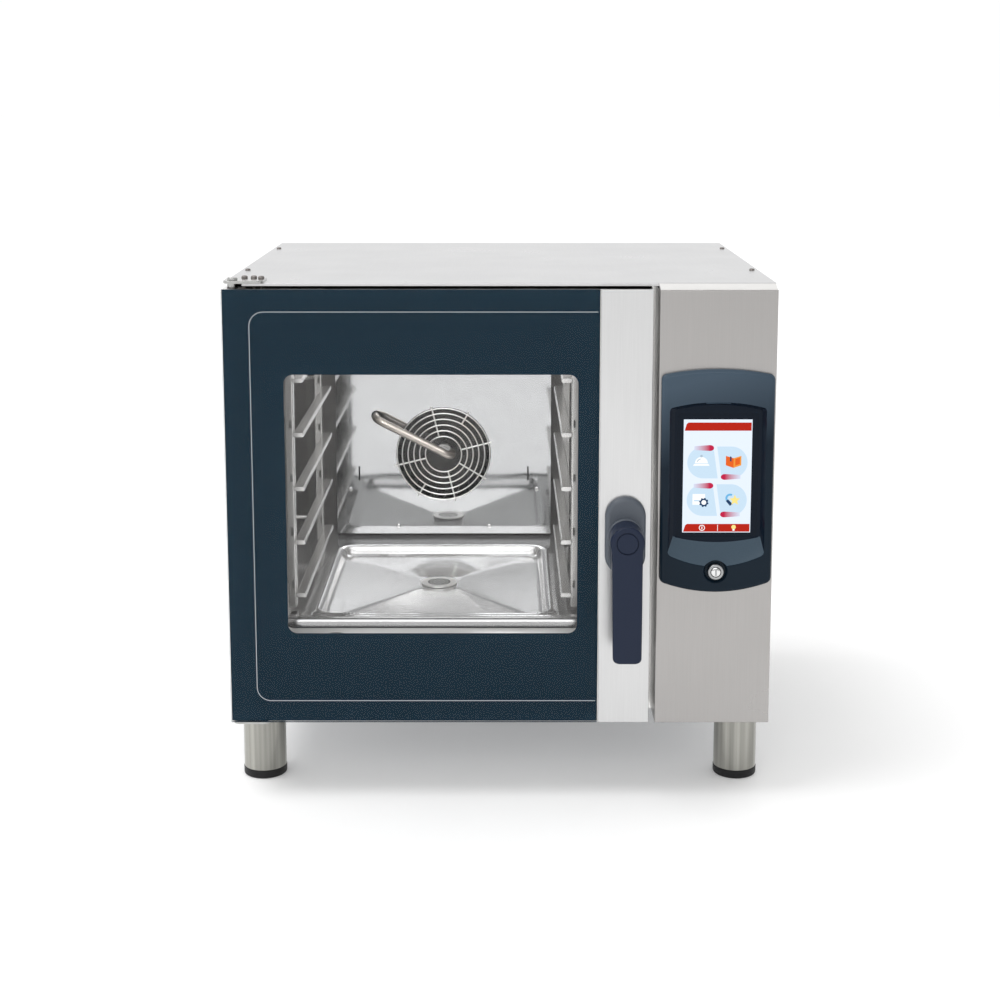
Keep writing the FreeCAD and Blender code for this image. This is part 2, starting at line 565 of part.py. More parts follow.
# ---- air system ---------------------------------------------------------------------------------
def make_baffle():
    """Removable sheet in front of the fan, with folded sides, fan intake, slots and screws."""
    x0, x1 = FAN_X - BAFFLE_HALF, FAN_X + BAFFLE_HALF
    sheet = box(x0, x1, BAFFLE_DEPTH, BAFFLE_DEPTH + SHEET, BAFFLE_LOW, BAFFLE_HIGH)
    sides = [box(x, x + SHEET, BAFFLE_DEPTH, BAFFLE_DEPTH + BAFFLE_FOLD, BAFFLE_LOW, BAFFLE_HIGH)
             for x in (x0, x1 - SHEET)]
    lip = box(x0, x1, BAFFLE_DEPTH, BAFFLE_DEPTH + 10, BAFFLE_LOW, BAFFLE_LOW + SHEET)
    baffle = sheet.fuse(sides + [lip]).removeSplitter()
    cuts = [disc(FAN_X, BAFFLE_DEPTH - 5, FAN_Z, INTAKE_R, 20),
            disc(TUBE_START[0], BAFFLE_DEPTH - 5, TUBE_START[1], TUBE_R + 2, 20)]
    for x in (FAN_X - BAFFLE_SLOT_X, FAN_X + BAFFLE_SLOT_X):
        cuts.append(box(x - 1.2, x + 1.2, BAFFLE_DEPTH - 5, BAFFLE_DEPTH + 5, *BAFFLE_SLOT))
    cuts += [disc(x, BAFFLE_DEPTH - 5, z, SCREW_HOLE_R, 10) for x, z in BAFFLE_SCREWS]
    save("baffle_panel", baffle.cut(Part.makeCompound(cuts)))
    save("baffle_screws", *[screw(x, BAFFLE_DEPTH, z, ALONG_Y * -1, shank=CAVITY_BACK - BAFFLE_DEPTH)
                            for x, z in BAFFLE_SCREWS])


def make_guard():
    """Wire guard of the fan intake: round wires on straight spokes."""
    depth = BAFFLE_DEPTH - GUARD_WIRE_R * 2
    centre = Vec(FAN_X, y(depth), FAN_Z)
    wires = [Part.makeTorus(r, GUARD_WIRE_R, centre, ALONG_Y) for r in GUARD_RINGS]
    for angle, start in GUARD_SPOKES:
        a = math.radians(angle)
        out = Vec(math.cos(a), 0, math.sin(a))
        length = GUARD_RINGS[-1] + 5 - start
        base = centre + out * start + ALONG_Y * (GUARD_WIRE_R * 0.9)
        wires.append(Part.makeCylinder(GUARD_WIRE_R * 1.2, length, base, out))
    save("fan_guard", wires[0].fuse(wires[1:]))


def make_impeller():
    """Fan wheel with its blades, and the motor shaft with the nut that holds the wheel."""
    back = ring(FAN_X, IMPELLER_BACK, FAN_Z, IMPELLER_R, SHAFT_R + 0.02, 2)
    hub = ring(FAN_X, IMPELLER_BACK - 16, FAN_Z, 22, SHAFT_R + 0.02, 16)
    eye = ring(FAN_X, IMPELLER_FRONT, FAN_Z, IMPELLER_R, IMPELLER_R - 14, 1.5)
    blades = []
    for i in range(BLADES):
        blade = box(FAN_X + IMPELLER_R - 26, FAN_X + IMPELLER_R - 1, IMPELLER_FRONT + 1, IMPELLER_BACK + 0.5,
                    FAN_Z - 0.6, FAN_Z + 0.6)
        blade.rotate(Vec(FAN_X + IMPELLER_R - 13, 0, FAN_Z), ALONG_Y, BLADE_TURN)
        blade.rotate(Vec(FAN_X, 0, FAN_Z), ALONG_Y, 360 * i / BLADES)
        blades.append(blade)
    save("fan_impeller", back.fuse([hub, eye] + blades))

    shaft = disc(FAN_X, IMPELLER_BACK - 26, FAN_Z, SHAFT_R, MOTOR_FRONT + 20 - IMPELLER_BACK + 26)
    nut = Part.makeBox(19, 7, 19, Vec(FAN_X - 9.5, y(IMPELLER_BACK - 23.2), FAN_Z - 9.5))
    nut = nut.common(disc(FAN_X, IMPELLER_BACK - 24, FAN_Z, 10.8, 9))
    save("motor_shaft", shaft.fuse(nut))


def make_motor():
    """Ribbed fan motor on its flange and posts."""
    motor = disc(FAN_X, MOTOR_FRONT, FAN_Z, MOTOR_R, MOTOR_BACK - MOTOR_FRONT)
    motor = soften(motor, 5.0, at_depth(MOTOR_BACK))
    ribs = []
    for i in range(MOTOR_RIBS):
        rib = box(FAN_X + MOTOR_R - 1, FAN_X + MOTOR_R + 4, MOTOR_FRONT + 8, MOTOR_BACK - 6,
                  FAN_Z - 1, FAN_Z + 1)
        rib.rotate(Vec(FAN_X, 0, FAN_Z), ALONG_Y, 360 * i / MOTOR_RIBS)
        ribs.append(rib)
    half, post = MOTOR_FLANGE_HALF, MOTOR_POST
    start = CAVITY_BACK + SHEET
    flange = box(FAN_X - half, FAN_X + half, start, start + 3, FAN_Z - half, FAN_Z + half)
    posts = [disc(FAN_X + sx * post, start, FAN_Z + sz * post, 5, MOTOR_FRONT - CAVITY_BACK)
             for sx in (-1, 1) for sz in (-1, 1)]
    motor = motor.fuse(ribs + [flange] + posts)
    motor = motor.cut(disc(FAN_X, CAVITY_BACK, FAN_Z, SHAFT_R + 0.06, 40))
    motor = motor.cut(Part.makeCompound([disc(x, CAVITY_BACK, z, COIL_WIRE_R + 1, 10) for x, z in COIL_LEGS]))
    save("fan_motor", motor)


def make_heater_and_tube():
    """Ring heater round the fan wheel, and the bent tube that sprays water into the wheel."""
    coils = [Part.makeTorus(COIL_R, COIL_WIRE_R, Vec(FAN_X, y(d), FAN_Z), ALONG_Y) for d in COIL_DEPTHS]
    legs = [disc(x, COIL_DEPTHS[0], z, COIL_WIRE_R, CAVITY_BACK + 30 - COIL_DEPTHS[0]) for x, z in COIL_LEGS]
    gap = box(FAN_X - 9, FAN_X + 9, 400, CAVITY_BACK, FAN_Z - COIL_R - 8, FAN_Z - COIL_R + 8)
    heater = coils[0].fuse(coils[1:]).cut(gap).fuse(legs)
    save("heating_element", heater)

    start_x, start_z = TUBE_START
    reach = BAFFLE_DEPTH - TUBE_REACH
    end_x, end_z = FAN_X + 13, FAN_Z + 1
    route = [(start_x, CAVITY_BACK + 20, start_z), (start_x, reach, start_z),
             (end_x, reach, end_z), (end_x, BAFFLE_DEPTH + 4, end_z)]
    save("water_tube", pipe(route, TUBE_R, TUBE_BEND, TUBE_BORE_R))


# ---- racks --------------------------------------------------------------------------------------
def rack_post(side, depth):
    """Square tube that stands beside the wall, with a slot above each rail."""
    outer, inner = CAVITY_MID + side * (POST_IN + POST_WIDE), CAVITY_MID + side * POST_IN
    x0, x1 = min(outer, inner), max(outer, inner)
    post = box(x0, x1, depth, depth + POST_DEEP, POST_LOW, POST_HIGH)
    post = soften(post, 1.5, lambda e: e.Length > 200)
    post = post.cut(box(x0 + SHEET, x1 - SHEET, depth + SHEET, depth + POST_DEEP - SHEET,
                        POST_LOW - 2, POST_HIGH + 40))
    middle = (outer + inner) / 2 - side * 1.5
    for level in range(LEVELS):
        z = FIRST_LEVEL + level * LEVEL_PITCH + RAIL_HIGH + 6
        post = post.cut(panel(middle - SLOT_HALF, middle + SLOT_HALF, z, z + SLOT_LONG, 1.5,
                              depth - 2, depth + POST_DEEP + 2))
    return post


def rack_rail(side, z):
    """Channel, open below, that carries one edge of a container."""
    inner, tip = CAVITY_MID + side * POST_IN, CAVITY_MID + side * RAIL_TIP
    x0, x1 = min(inner, tip), max(inner, tip)
    d0, d1 = POST_DEPTHS[0] - 3, POST_DEPTHS[1] + POST_DEEP
    rail = box(x0, x1, d0, d1, z, z + RAIL_HIGH)
    rail = soften(rail, 1.6, lambda e: e.Length > 200 and e.BoundBox.ZMin > z + 1)
    t = RAIL_SHEET
    return rail.cut(box(x0 + t, x1 - t, d0 + t, d1 - t, z - 1, z + RAIL_HIGH - t))


def make_racks():
    """Two hang-in racks of slotted posts and rails, one pair of rails for each level."""
    for name, side in (("left_rack", -1), ("right_rack", 1)):
        posts = [rack_post(side, depth) for depth in POST_DEPTHS]
        rails = [rack_rail(side, FIRST_LEVEL + level * LEVEL_PITCH) for level in range(LEVELS)]
        save(name, *posts, *rails)


# ---- services -----------------------------------------------------------------------------------
def make_vent():
    """Vent pipe from the cavity through the rear panel."""
    vent_x, vent_z, vent_r = REAR_PIPES["vent"]
    start = CAVITY_BACK + SHEET
    duct = ring(vent_x, start, vent_z, vent_r - NECK, vent_r - 2, BODY_DEPTH + 30 - start)
    collar = ring(vent_x, BODY_DEPTH + 2, vent_z, vent_r, vent_r - NECK - 0.5, 28)
    save("vent_pipe", duct.fuse(collar).removeSplitter())


def make_water_valve():
    """Solenoid valve with its threaded inlet spigot."""
    water_x, water_z, water_r = REAR_PIPES["water"]
    body = box(water_x - 22, water_x + 22, BODY_DEPTH - 60, BODY_DEPTH - 12, water_z - 20, water_z + 20)
    body = soften(body, 4, lambda e: True)
    coil = disc(water_x, BODY_DEPTH - 36, water_z + 18, 15, 42, ALONG_Z)
    spigot = disc(water_x, BODY_DEPTH - 20, water_z, water_r - NECK, 42)
    spigot = spigot.fuse(disc(water_x, BODY_DEPTH + 2, water_z, water_r, 20))
    outlet = disc(water_x - 40, BODY_DEPTH - 40, water_z, 5, 22, ALONG_X)
    bore = disc(water_x, BODY_DEPTH - 16, water_z, 8.0, 60)
    save("water_valve", body.fuse([coil, spigot, outlet]).cut(bore))


def make_cable_gland():
    """Gland that the mains cable is led through."""
    cable_x, cable_z, cable_r = REAR_PIPES["cable"]
    flange = Part.makeCylinder(cable_r + 4, 10, Vec(cable_x, y(BODY_DEPTH), cable_z), ALONG_Y)
    nose = soften(disc(cable_x, BODY_DEPTH + 10, cable_z, cable_r, 14), 3, at_depth(BODY_DEPTH + 24))
    neck = disc(cable_x, BODY_DEPTH - 14, cable_z, cable_r, 15)
    gland = flange.fuse([nose, neck])
    save("cable_gland", gland.cut(disc(cable_x, BODY_DEPTH - 20, cable_z, CABLE_BORE_R, 60)))


def make_control_board():
    """Circuit board on standoffs, with its larger components as blocks."""
    face = PARTITION_X + SHEET + 8
    front = face + BOARD_THICK
    board = box(face, front, 200, 420, 240, 500)
    chips = [box(front, front + h, d, d + w, z, z + t) for d, w, z, t, h in BOARD_BLOCKS]
    standoffs = [disc(PARTITION_X + SHEET, d, z, 3, 8, ALONG_X) for d in (208, 412) for z in (248, 492)]
    save("control_board", board.fuse(chips + standoffs))


def make_cooling_fan():
    """Cooling fan of the control side: square frame with struts, and the rotor."""
    x, z, half = COOLER_X, COOLER_Z, COOLER_HALF
    back = BODY_DEPTH - SHEET
    frame = panel(x - half, x + half, z - half, z + half, 5, back - 25, back)
    frame = frame.cut(disc(x, back - 30, z, half - 2, 40))
    strut = box(x - 1.5, x + half - 1, back - 3, back, z - 2, z + 2)
    struts = [strut.rotated(Vec(x, 0, z), ALONG_Y, 45 + 90 * i) for i in range(4)]
    seat = disc(x, back - 4, z, 16, 4)
    pivot = disc(x, back - 16, z, 2.0, 13)
    save("cooling_fan_frame", frame.fuse(struts + [seat, pivot]))
    hub = soften(disc(x, back - 22, z, 17, 17.5), 2, at_depth(back - 22))
    hub = hub.cut(disc(x, back - 17, z, 2.05, 13))
    vanes = []
    for i in range(COOLER_VANES):
        vane = box(x + 15, x + half - 4, back - 15.8, back - 13.8, z - 11, z + 11)
        vane.rotate(Vec(x, y(back - 14.8), z), ALONG_X, 32)
        vane.rotate(Vec(x, 0, z), ALONG_Y, 360 * i / COOLER_VANES)
        vanes.append(vane)
    save("cooling_fan_rotor", hub.fuse(vanes))


# ---- controls -----------------------------------------------------------------------------------
def arched_wire(x0, x1, low_side, low_mid, high_side, high_mid, depth):
    """Upright outline with straight sides and a bowed top and bottom."""
    at = y(depth)
    middle = (x0 + x1) / 2
    low = (Vec(x0, at, low_side), Vec(middle, at, low_mid), Vec(x1, at, low_side))
    high = (Vec(x1, at, high_side), Vec(middle, at, high_mid), Vec(x0, at, high_side))
    sides = Part.LineSegment(low[2], high[0]), Part.LineSegment(high[2], low[0])
    return Part.Wire([e.toShape() for e in (Part.Arc(*low), sides[0], Part.Arc(*high), sides[1])])


def runs_through(edge):
    """Edge test: the edge joins two depths, such as a corner of an extruded outline."""
    return edge.BoundBox.YLength > 2.0


def make_bezel():
    """Moulded bezel with a bowed outline, a sunk screen field and a round dish for the knob."""
    outline = arched_wire(BEZEL_LEFT, BEZEL_RIGHT, *BEZEL_LOW, *BEZEL_HIGH, -BEZEL_PROUD)
    bezel = Part.Face(outline).extrude(Vec(0, BEZEL_PROUD, 0))
    bezel = soften(bezel, 6.0, runs_through)
    bezel = soften(bezel, 2.2, at_depth(-BEZEL_PROUD))
    wide = arched_wire(*RECESS_FRONT, -BEZEL_PROUD - 0.01)
    deep = arched_wire(*RECESS_BACK, -SCREEN_FLOOR)
    recess = soften(Part.makeLoft([wide, deep], True, True), 4.0, runs_through)
    bezel = bezel.cut(recess)
    bezel = bezel.cut(panel(*SCREEN, 3, -BEZEL_PROUD, 1))
    dish = Part.makeCone(*DISH_R, 5.0, Vec(BEZEL_MID, y(-BEZEL_PROUD), KNOB_Z), ALONG_Y)
    bezel = bezel.cut(dish).cut(disc(BEZEL_MID, -BEZEL_PROUD, KNOB_Z, STEM_R + 0.4, 12))
    save("control_bezel", bezel)


def make_screen():
    """Touch screen: cover glass, and the display module with its board behind it."""
    save("screen_glass", panel(*SCREEN, 3, -SCREEN_FLOOR, 0))
    x0, x1, z0, z1 = SCREEN
    module = panel(x0 - 2, x1 + 1, z0 - 2, z1 + 2, 2, 0.2, 14)
    board = box(x0 + 5, x1 - 7, 14, 16, z0 + 10, z1 - 11)
    save("screen_module", module.fuse(board).removeSplitter())


def make_knob():
    """Push-turn knob: stem with its stop collar, and a cap with a dished face."""
    stem = disc(BEZEL_MID, -9.0, KNOB_Z, STEM_R, 17.0).fuse(disc(BEZEL_MID, 2.0, KNOB_Z, 4.6, 2.0))
    save("knob_stem", stem)
    cap = disc(BEZEL_MID, -KNOB_FACE, KNOB_Z, KNOB_R, KNOB_LONG)
    cap = soften(cap, 1.2, at_depth(-KNOB_FACE))
    hollow = Part.makeSphere(24.0, Vec(BEZEL_MID, y(-KNOB_FACE - 23.2), KNOB_Z))
    cap = cap.cut(hollow).cut(disc(BEZEL_MID, -9.1, KNOB_Z, STEM_R + 0.05, 6))
    save("knob_cap", cap)


# ---- door ---------------------------------------------------------------------------------------
def make_outer_pane():
    """Outer glass of the door and the dark print on its back, which leaves the window clear."""
    pane = box(DOOR_LEFT, GLASS_RIGHT, 0, GLASS_THICK, FLOOR_Z, DOOR_TOP)
    save("door_outer_glass", soften(pane, 0.8, at_depth(0)))
    back = GLASS_THICK + PRINT_THICK
    coat = box(DOOR_LEFT + 0.5, GLASS_RIGHT - 0.2, GLASS_THICK, back, FLOOR_Z + 0.5, DOOR_TOP - 0.5)
    save("door_glass_print", coat.cut(panel(*WINDOW, WINDOW_RADIUS, 0, DOOR_THICK)))


def make_door_shell():
    """Hollow sheet body of the door with the window tunnel and the holes for the spindle and the bushes."""
    back = GLASS_THICK + PRINT_THICK
    shell = box(DOOR_LEFT + 0.5, DOOR_RIGHT - 2, back, DOOR_THICK, FLOOR_Z + 0.5, DOOR_TOP - 0.5)
    tunnel = panel(*INNER_OPENING, 9.0, 0, DOOR_THICK + 1)
    pocket = box(DOOR_LEFT + 0.5 + SHEET, DOOR_RIGHT - 2 - SHEET, back - 1, DOOR_THICK - SHEET,
                 FLOOR_Z + 0.5 + SHEET, DOOR_TOP - 0.5 - SHEET)
    rim = (WINDOW[0] - 3, WINDOW[1] + 3, WINDOW[2] - 3, WINDOW[3] + 3)
    front_sheet = box(DOOR_LEFT + 0.5, DOOR_RIGHT - 2, back, back + 1.2, FLOOR_Z + 0.5, DOOR_TOP - 0.5)
    front_sheet = front_sheet.cut(panel(*rim, WINDOW_RADIUS + 2, 0, DOOR_THICK))
    shell = shell.cut(pocket).cut(tunnel).fuse(front_sheet).removeSplitter()
    shell = shell.cut(disc(PIVOT_X, 0, PIVOT_Z, SPINDLE_HOLE_R, 60))
    for z in (FLOOR_Z - 2, DOOR_TOP - 8):
        shell = shell.cut(disc(HINGE_X, HINGE_DEPTH, z, BUSH_R, 10, ALONG_Z))
    save("door_shell", shell)


def make_inner_pane():
    """Inner glass of the door and the seal behind it."""
    pane_back = INNER_PANE_DEPTH + INNER_PANE_THICK
    x0, x1, z0, z1 = INNER_OPENING
    seal_out = panel(*INNER_PANE, 12, pane_back, DOOR_THICK - SHEET)
    seal_in = panel(x0 + 2, x1 - 2, z0 + 2, z1 - 2, 8, INNER_PANE_DEPTH, DOOR_THICK)
    save("inner_glass_seal", seal_out.cut(seal_in))
    save("door_inner_glass", panel(*INNER_PANE, 12, INNER_PANE_DEPTH, pane_back))


def make_handle_strip():
    """Steel strip of the door, beside the glass, that carries the handle."""
    back = GLASS_THICK + PRINT_THICK
    left = GLASS_RIGHT + STRIP_GAP
    strip = box(left, DOOR_RIGHT, 0, DOOR_THICK, FLOOR_Z, DOOR_TOP)
    strip = soften(strip, 1.2, at_depth(0))
    inside = box(GLASS_RIGHT - 5, DOOR_RIGHT - SHEET, SHEET, DOOR_THICK + 1, FLOOR_Z - 1, DOOR_TOP + 1)
    flange = box(left, left + SHEET, 0.6, back, FLOOR_Z, DOOR_TOP)
    strip = strip.cut(inside).fuse(flange).removeSplitter()
    save("handle_panel", strip.cut(disc(PIVOT_X, -1, PIVOT_Z, SPINDLE_HOLE_R, 10)))


def make_bushes():
    """Plastic bushes in the lower and upper edge of the door, which turn on the hinge pins."""
    bushes = []
    for z, collar in ((FLOOR_Z, FLOOR_Z + 2 + SHEET), (DOOR_TOP - BUSH_HIGH, DOOR_TOP - 4 - SHEET)):
        bush = disc(HINGE_X, HINGE_DEPTH, z, BUSH_R, BUSH_HIGH, ALONG_Z)
        bush = bush.fuse(disc(HINGE_X, HINGE_DEPTH, collar, BUSH_R + 2, 2, ALONG_Z))
        bushes.append(bush.cut(disc(HINGE_X, HINGE_DEPTH, z - 1, HINGE_PIN_R + 0.05, BUSH_HIGH + 2, ALONG_Z)))
    save("hinge_bushes", *bushes)


def make_hinges():
    """Fixed hinge brackets with their pins, and the screws of the upper one."""
    top = TOP_Z + HINGE_PLATE
    plate = box(-HALF + 1, HINGE_PLATE_RIGHT, HINGE_PLATE_FRONT, 58, TOP_Z, top)
    plate = soften(plate, 9, lambda e: abs(e.Length - HINGE_PLATE) < 0.01)
    plate = soften(plate, 0.8, at_height(top))
    pin = disc(HINGE_X, HINGE_DEPTH, DOOR_TOP - 13, HINGE_PIN_R, TOP_Z - DOOR_TOP + 14, ALONG_Z)
    head = soften(disc(HINGE_X, HINGE_DEPTH, TOP_Z + 3, 6.5, 4.0, ALONG_Z), 1.5, at_height(TOP_Z + 7))
    holes = [disc(x, d, TOP_Z - 1, HINGE_HOLE_R, 6, ALONG_Z) for x, d in HINGE_SCREWS]
    save("upper_hinge", plate.fuse([pin, head]).cut(Part.makeCompound(holes)))
    save("hinge_screws", *[screw(x, d, top, ALONG_Z, head_r=4.0, head=3.0, shank_r=2.0, shank=9)
                           for x, d in HINGE_SCREWS])

    low = FLOOR_Z - 6.0
    plate = box(-HALF + 1, HINGE_PLATE_RIGHT - 2, HINGE_PLATE_FRONT, FRAME_DEPTH, low, low + HINGE_PLATE)
    plate = soften(plate, 9, lambda e: abs(e.Length - HINGE_PLATE) < 0.01 and e.BoundBox.YMax < y(30))
    riser = box(-HALF + 4, HINGE_PLATE_RIGHT - 6, FRAME_DEPTH - HINGE_PLATE, FRAME_DEPTH, low, FLOOR_Z + 40)
    pin = disc(HINGE_X, HINGE_DEPTH, low + 2, HINGE_PIN_R, 17, ALONG_Z)
    washer = disc(HINGE_X, HINGE_DEPTH, low + 3, 6.5, 2.2, ALONG_Z)
    save("lower_hinge", plate.fuse([riser, pin, washer]))


def make_rose():
    """Oval rose on the door, round the handle's spindle."""
    rose = panel(PIVOT_X - ROSE_HALF, PIVOT_X + ROSE_HALF, PIVOT_Z - ROSE_BELOW, PIVOT_Z + ROSE_ABOVE,
                 ROSE_HALF - 0.1, -ROSE_PROUD, 0)
    rose = soften(rose, 6, at_depth(-ROSE_PROUD))
    save("handle_escutcheon", rose.cut(disc(PIVOT_X, -12, PIVOT_Z, SPINDLE_HOLE_R, 20)))


def make_lever():
    """Turning lever with a round hub and a grip that stands clear of the door, and its cap."""
    low = PIVOT_Z - LEVER_LENGTH
    arm = panel(PIVOT_X - ARM_HALF, PIVOT_X + ARM_HALF, low, PIVOT_Z + 15, 7, -HANDLE_REACH, 0)
    face = disc(PIVOT_X, -HANDLE_REACH, PIVOT_Z, HUB_R, HANDLE_REACH)
    blank = arm.fuse(face).removeSplitter()
    side = Part.makePolygon([Vec(0, y(d), z) for d, z in (
        (-HANDLE_REACH, PIVOT_Z + 30), (-HANDLE_REACH, low + 60), (-HANDLE_REACH + 2, low - 2),
        (-HANDLE_REACH + 13, low - 2), (-HANDLE_REACH + 14, PIVOT_Z - 40), (-HANDLE_REACH + 20, PIVOT_Z - 24),
        (-ROSE_PROUD - 0.4, PIVOT_Z - 22), (-ROSE_PROUD - 0.4, PIVOT_Z + 30), (-HANDLE_REACH, PIVOT_Z + 30))])
    profile = Part.Face(side).extrude(Vec(400, 0, 0))
    lever = soften(blank, 3.0, at_depth(-HANDLE_REACH)).common(profile)
    seat = disc(PIVOT_X, -HANDLE_REACH - 1, PIVOT_Z, CAP_R + 0.3, 4)
    lever = lever.cut(seat).cut(disc(PIVOT_X, -45, PIVOT_Z, SPINDLE_R + 0.02, 60))
    save("handle_lever", lever)
    face = -HANDLE_REACH + 0.3
    save("handle_cap", soften(disc(PIVOT_X, face, PIVOT_Z, CAP_R, 2.6), 0.8, at_depth(face)))


def make_spindle():
    """Spindle of the handle with the latch hook at its rear end."""
    end = HOOK_DEPTH + HOOK_THICK
    spindle = disc(PIVOT_X, -44, PIVOT_Z, SPINDLE_R, 44 + end)
    hook = box(PIVOT_X, PIVOT_X + HOOK_LONG, HOOK_DEPTH, end, PIVOT_Z - 7, PIVOT_Z + 7)
    boss = disc(PIVOT_X, HOOK_DEPTH, PIVOT_Z, 9.0, HOOK_THICK)
    save("latch_spindle", spindle.fuse([hook, boss]).removeSplitter())


# ---- legs ---------------------------------------------------------------------------------------
def make_legs():
    """Stainless leg tubes with a top plate, and a screw-in plastic foot for each."""
    tubes = []
    for name, (x, depth) in LEG_PLACES.items():
        start = FOOT_HIGH + FIT
        tube = disc(x, depth, start, LEG_R, FLOOR_Z - start, ALONG_Z)
        tubes.append(tube.cut(disc(x, depth, start - 1, LEG_R - SHEET, FLOOR_Z - start - 3, ALONG_Z)))
        base = disc(x, depth, 0, LEG_R + 0.5, FOOT_HIGH, ALONG_Z)
        base = soften(base, 3.0, at_height(0))
        base = soften(base, 1.2, at_height(FOOT_HIGH))
        save(name, base.fuse(disc(x, depth, FOOT_HIGH - 1, FOOT_SHANK_R, FOOT_SHANK, ALONG_Z)))
    save("leg_tubes", *tubes)


os.makedirs("parts", exist_ok=True)
make_casing()
make_screws()
make_front_frame()
make_fascia()
make_cavity()
make_drain()
make_insulation()
make_gasket()
make_lamp_and_probe()
make_baffle()
make_guard()
make_impeller()
make_motor()
make_heater_and_tube()
make_racks()
make_vent()
make_water_valve()
make_cable_gland()
make_control_board()
make_cooling_fan()
make_bezel()
make_screen()
make_knob()
make_outer_pane()
make_door_shell()
make_inner_pane()
make_handle_strip()
make_bushes()
make_hinges()
make_rose()
make_lever()
make_spindle()
make_legs()
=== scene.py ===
"""Looks of the combi steamer oven: materials, moulded and pressed parts, the lit screen and the studio.

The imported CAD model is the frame, in metres. Sizes of pieces are in millimetres and go through at(), which
takes X, the depth behind the door's front face, and Z. span() gives a CAD node's edges in the same way.
"""
import math
import bmesh
import bpy
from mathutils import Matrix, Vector


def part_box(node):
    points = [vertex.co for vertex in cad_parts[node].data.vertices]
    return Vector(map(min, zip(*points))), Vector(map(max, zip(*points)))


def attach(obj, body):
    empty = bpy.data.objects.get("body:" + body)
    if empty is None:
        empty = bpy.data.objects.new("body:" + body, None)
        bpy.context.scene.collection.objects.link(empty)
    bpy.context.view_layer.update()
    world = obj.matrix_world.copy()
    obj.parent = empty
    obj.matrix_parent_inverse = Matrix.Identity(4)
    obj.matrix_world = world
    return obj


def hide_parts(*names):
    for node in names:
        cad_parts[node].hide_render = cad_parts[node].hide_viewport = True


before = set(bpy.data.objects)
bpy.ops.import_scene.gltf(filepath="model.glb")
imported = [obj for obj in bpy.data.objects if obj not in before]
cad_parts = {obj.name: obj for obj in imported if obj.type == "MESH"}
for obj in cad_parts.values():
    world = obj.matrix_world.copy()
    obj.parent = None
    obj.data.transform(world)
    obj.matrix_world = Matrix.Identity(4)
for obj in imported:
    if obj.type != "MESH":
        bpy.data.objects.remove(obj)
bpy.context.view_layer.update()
MM = 0.001
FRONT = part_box("door_outer_glass")[0].y


# ---- places -------------------------------------------------------------------------------------
def at(x, depth, z):
    """Point from X, depth behind the door's front face and Z, all in millimetres."""
    return Vector((x * MM, FRONT + depth * MM, z * MM))


def span(node):
    """Edges of a CAD node in millimetres: left, right, front depth, rear depth, bottom, top."""
    low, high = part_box(node)
    return (low.x / MM, high.x / MM, (low.y - FRONT) / MM, (high.y - FRONT) / MM, low.z / MM, high.z / MM)


# ---- meshes -------------------------------------------------------------------------------------
def finish_mesh(name, mesh, material, body, sharp=35.0, flat=None):
    """Object from a mesh: smooth shading with sharp creases, one material, riding on a body.

    Edges that turn by more than sharp degrees are creases. Faces for which flat() holds stay flat.
    """
    mesh.materials.append(material)
    for polygon in mesh.polygons:
        polygon.use_smooth = not (flat and flat(polygon))
    mesh.set_sharp_from_angle(angle=math.radians(sharp))
    piece = bpy.data.objects.new(name, mesh)
    bpy.context.scene.collection.objects.link(piece)
    if body:
        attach(piece, body)
    return piece


def mesh_from(name, points, faces):
    """Mesh from points and faces, with its normals made consistent."""
    mesh = bpy.data.meshes.new(name)
    mesh.from_pydata([tuple(p) for p in points], [], faces)
    work = bmesh.new()
    work.from_mesh(mesh)
    bmesh.ops.remove_doubles(work, verts=work.verts, dist=1e-6)
    bmesh.ops.recalc_face_normals(work, faces=work.faces)
    work.to_mesh(mesh)
    work.free()
    return mesh


def loft(name, loops, caps=(True, True)):
    """Mesh through closed loops that have the same number of points."""
    count = len(loops[0])
    points = [p for loop in loops for p in loop]
    faces = []
    for i in range(len(loops) - 1):
        for j in range(count):
            k = (j + 1) % count
            faces.append((i * count + j, i * count + k, (i + 1) * count + k, (i + 1) * count + j))
    if caps[0]:
        faces.append(tuple(reversed(range(count))))
    if caps[1]:
        faces.append(tuple((len(loops) - 1) * count + j for j in range(count)))
    return mesh_from(name, points, faces)


def turned(name, profile, x, z, steps=64):
    """Mesh turned about an axis that runs front to back. The profile is a list of (radius, depth)."""
    loops = []
    for radius, depth in profile:
        turn = [2 * math.pi * i / steps for i in range(steps)]
        loops.append([at(x + radius * math.cos(a), depth, z + radius * math.sin(a)) for a in turn])
    return loft(name, loops)


def carve(mesh, cutter):
    """The mesh with another closed mesh cut out of it."""
    whole, tool = bpy.data.objects.new("whole", mesh), bpy.data.objects.new("tool", cutter)
    for item in (whole, tool):
        bpy.context.scene.collection.objects.link(item)
    cut = whole.modifiers.new("cut", "BOOLEAN")
    cut.operation, cut.object, cut.solver = "DIFFERENCE", tool, "EXACT"
    shown = whole.evaluated_get(bpy.context.evaluated_depsgraph_get())
    result = bpy.data.meshes.new_from_object(shown)
    for item in (whole, tool):
        bpy.data.objects.remove(item)
    result.materials.clear()
    return result


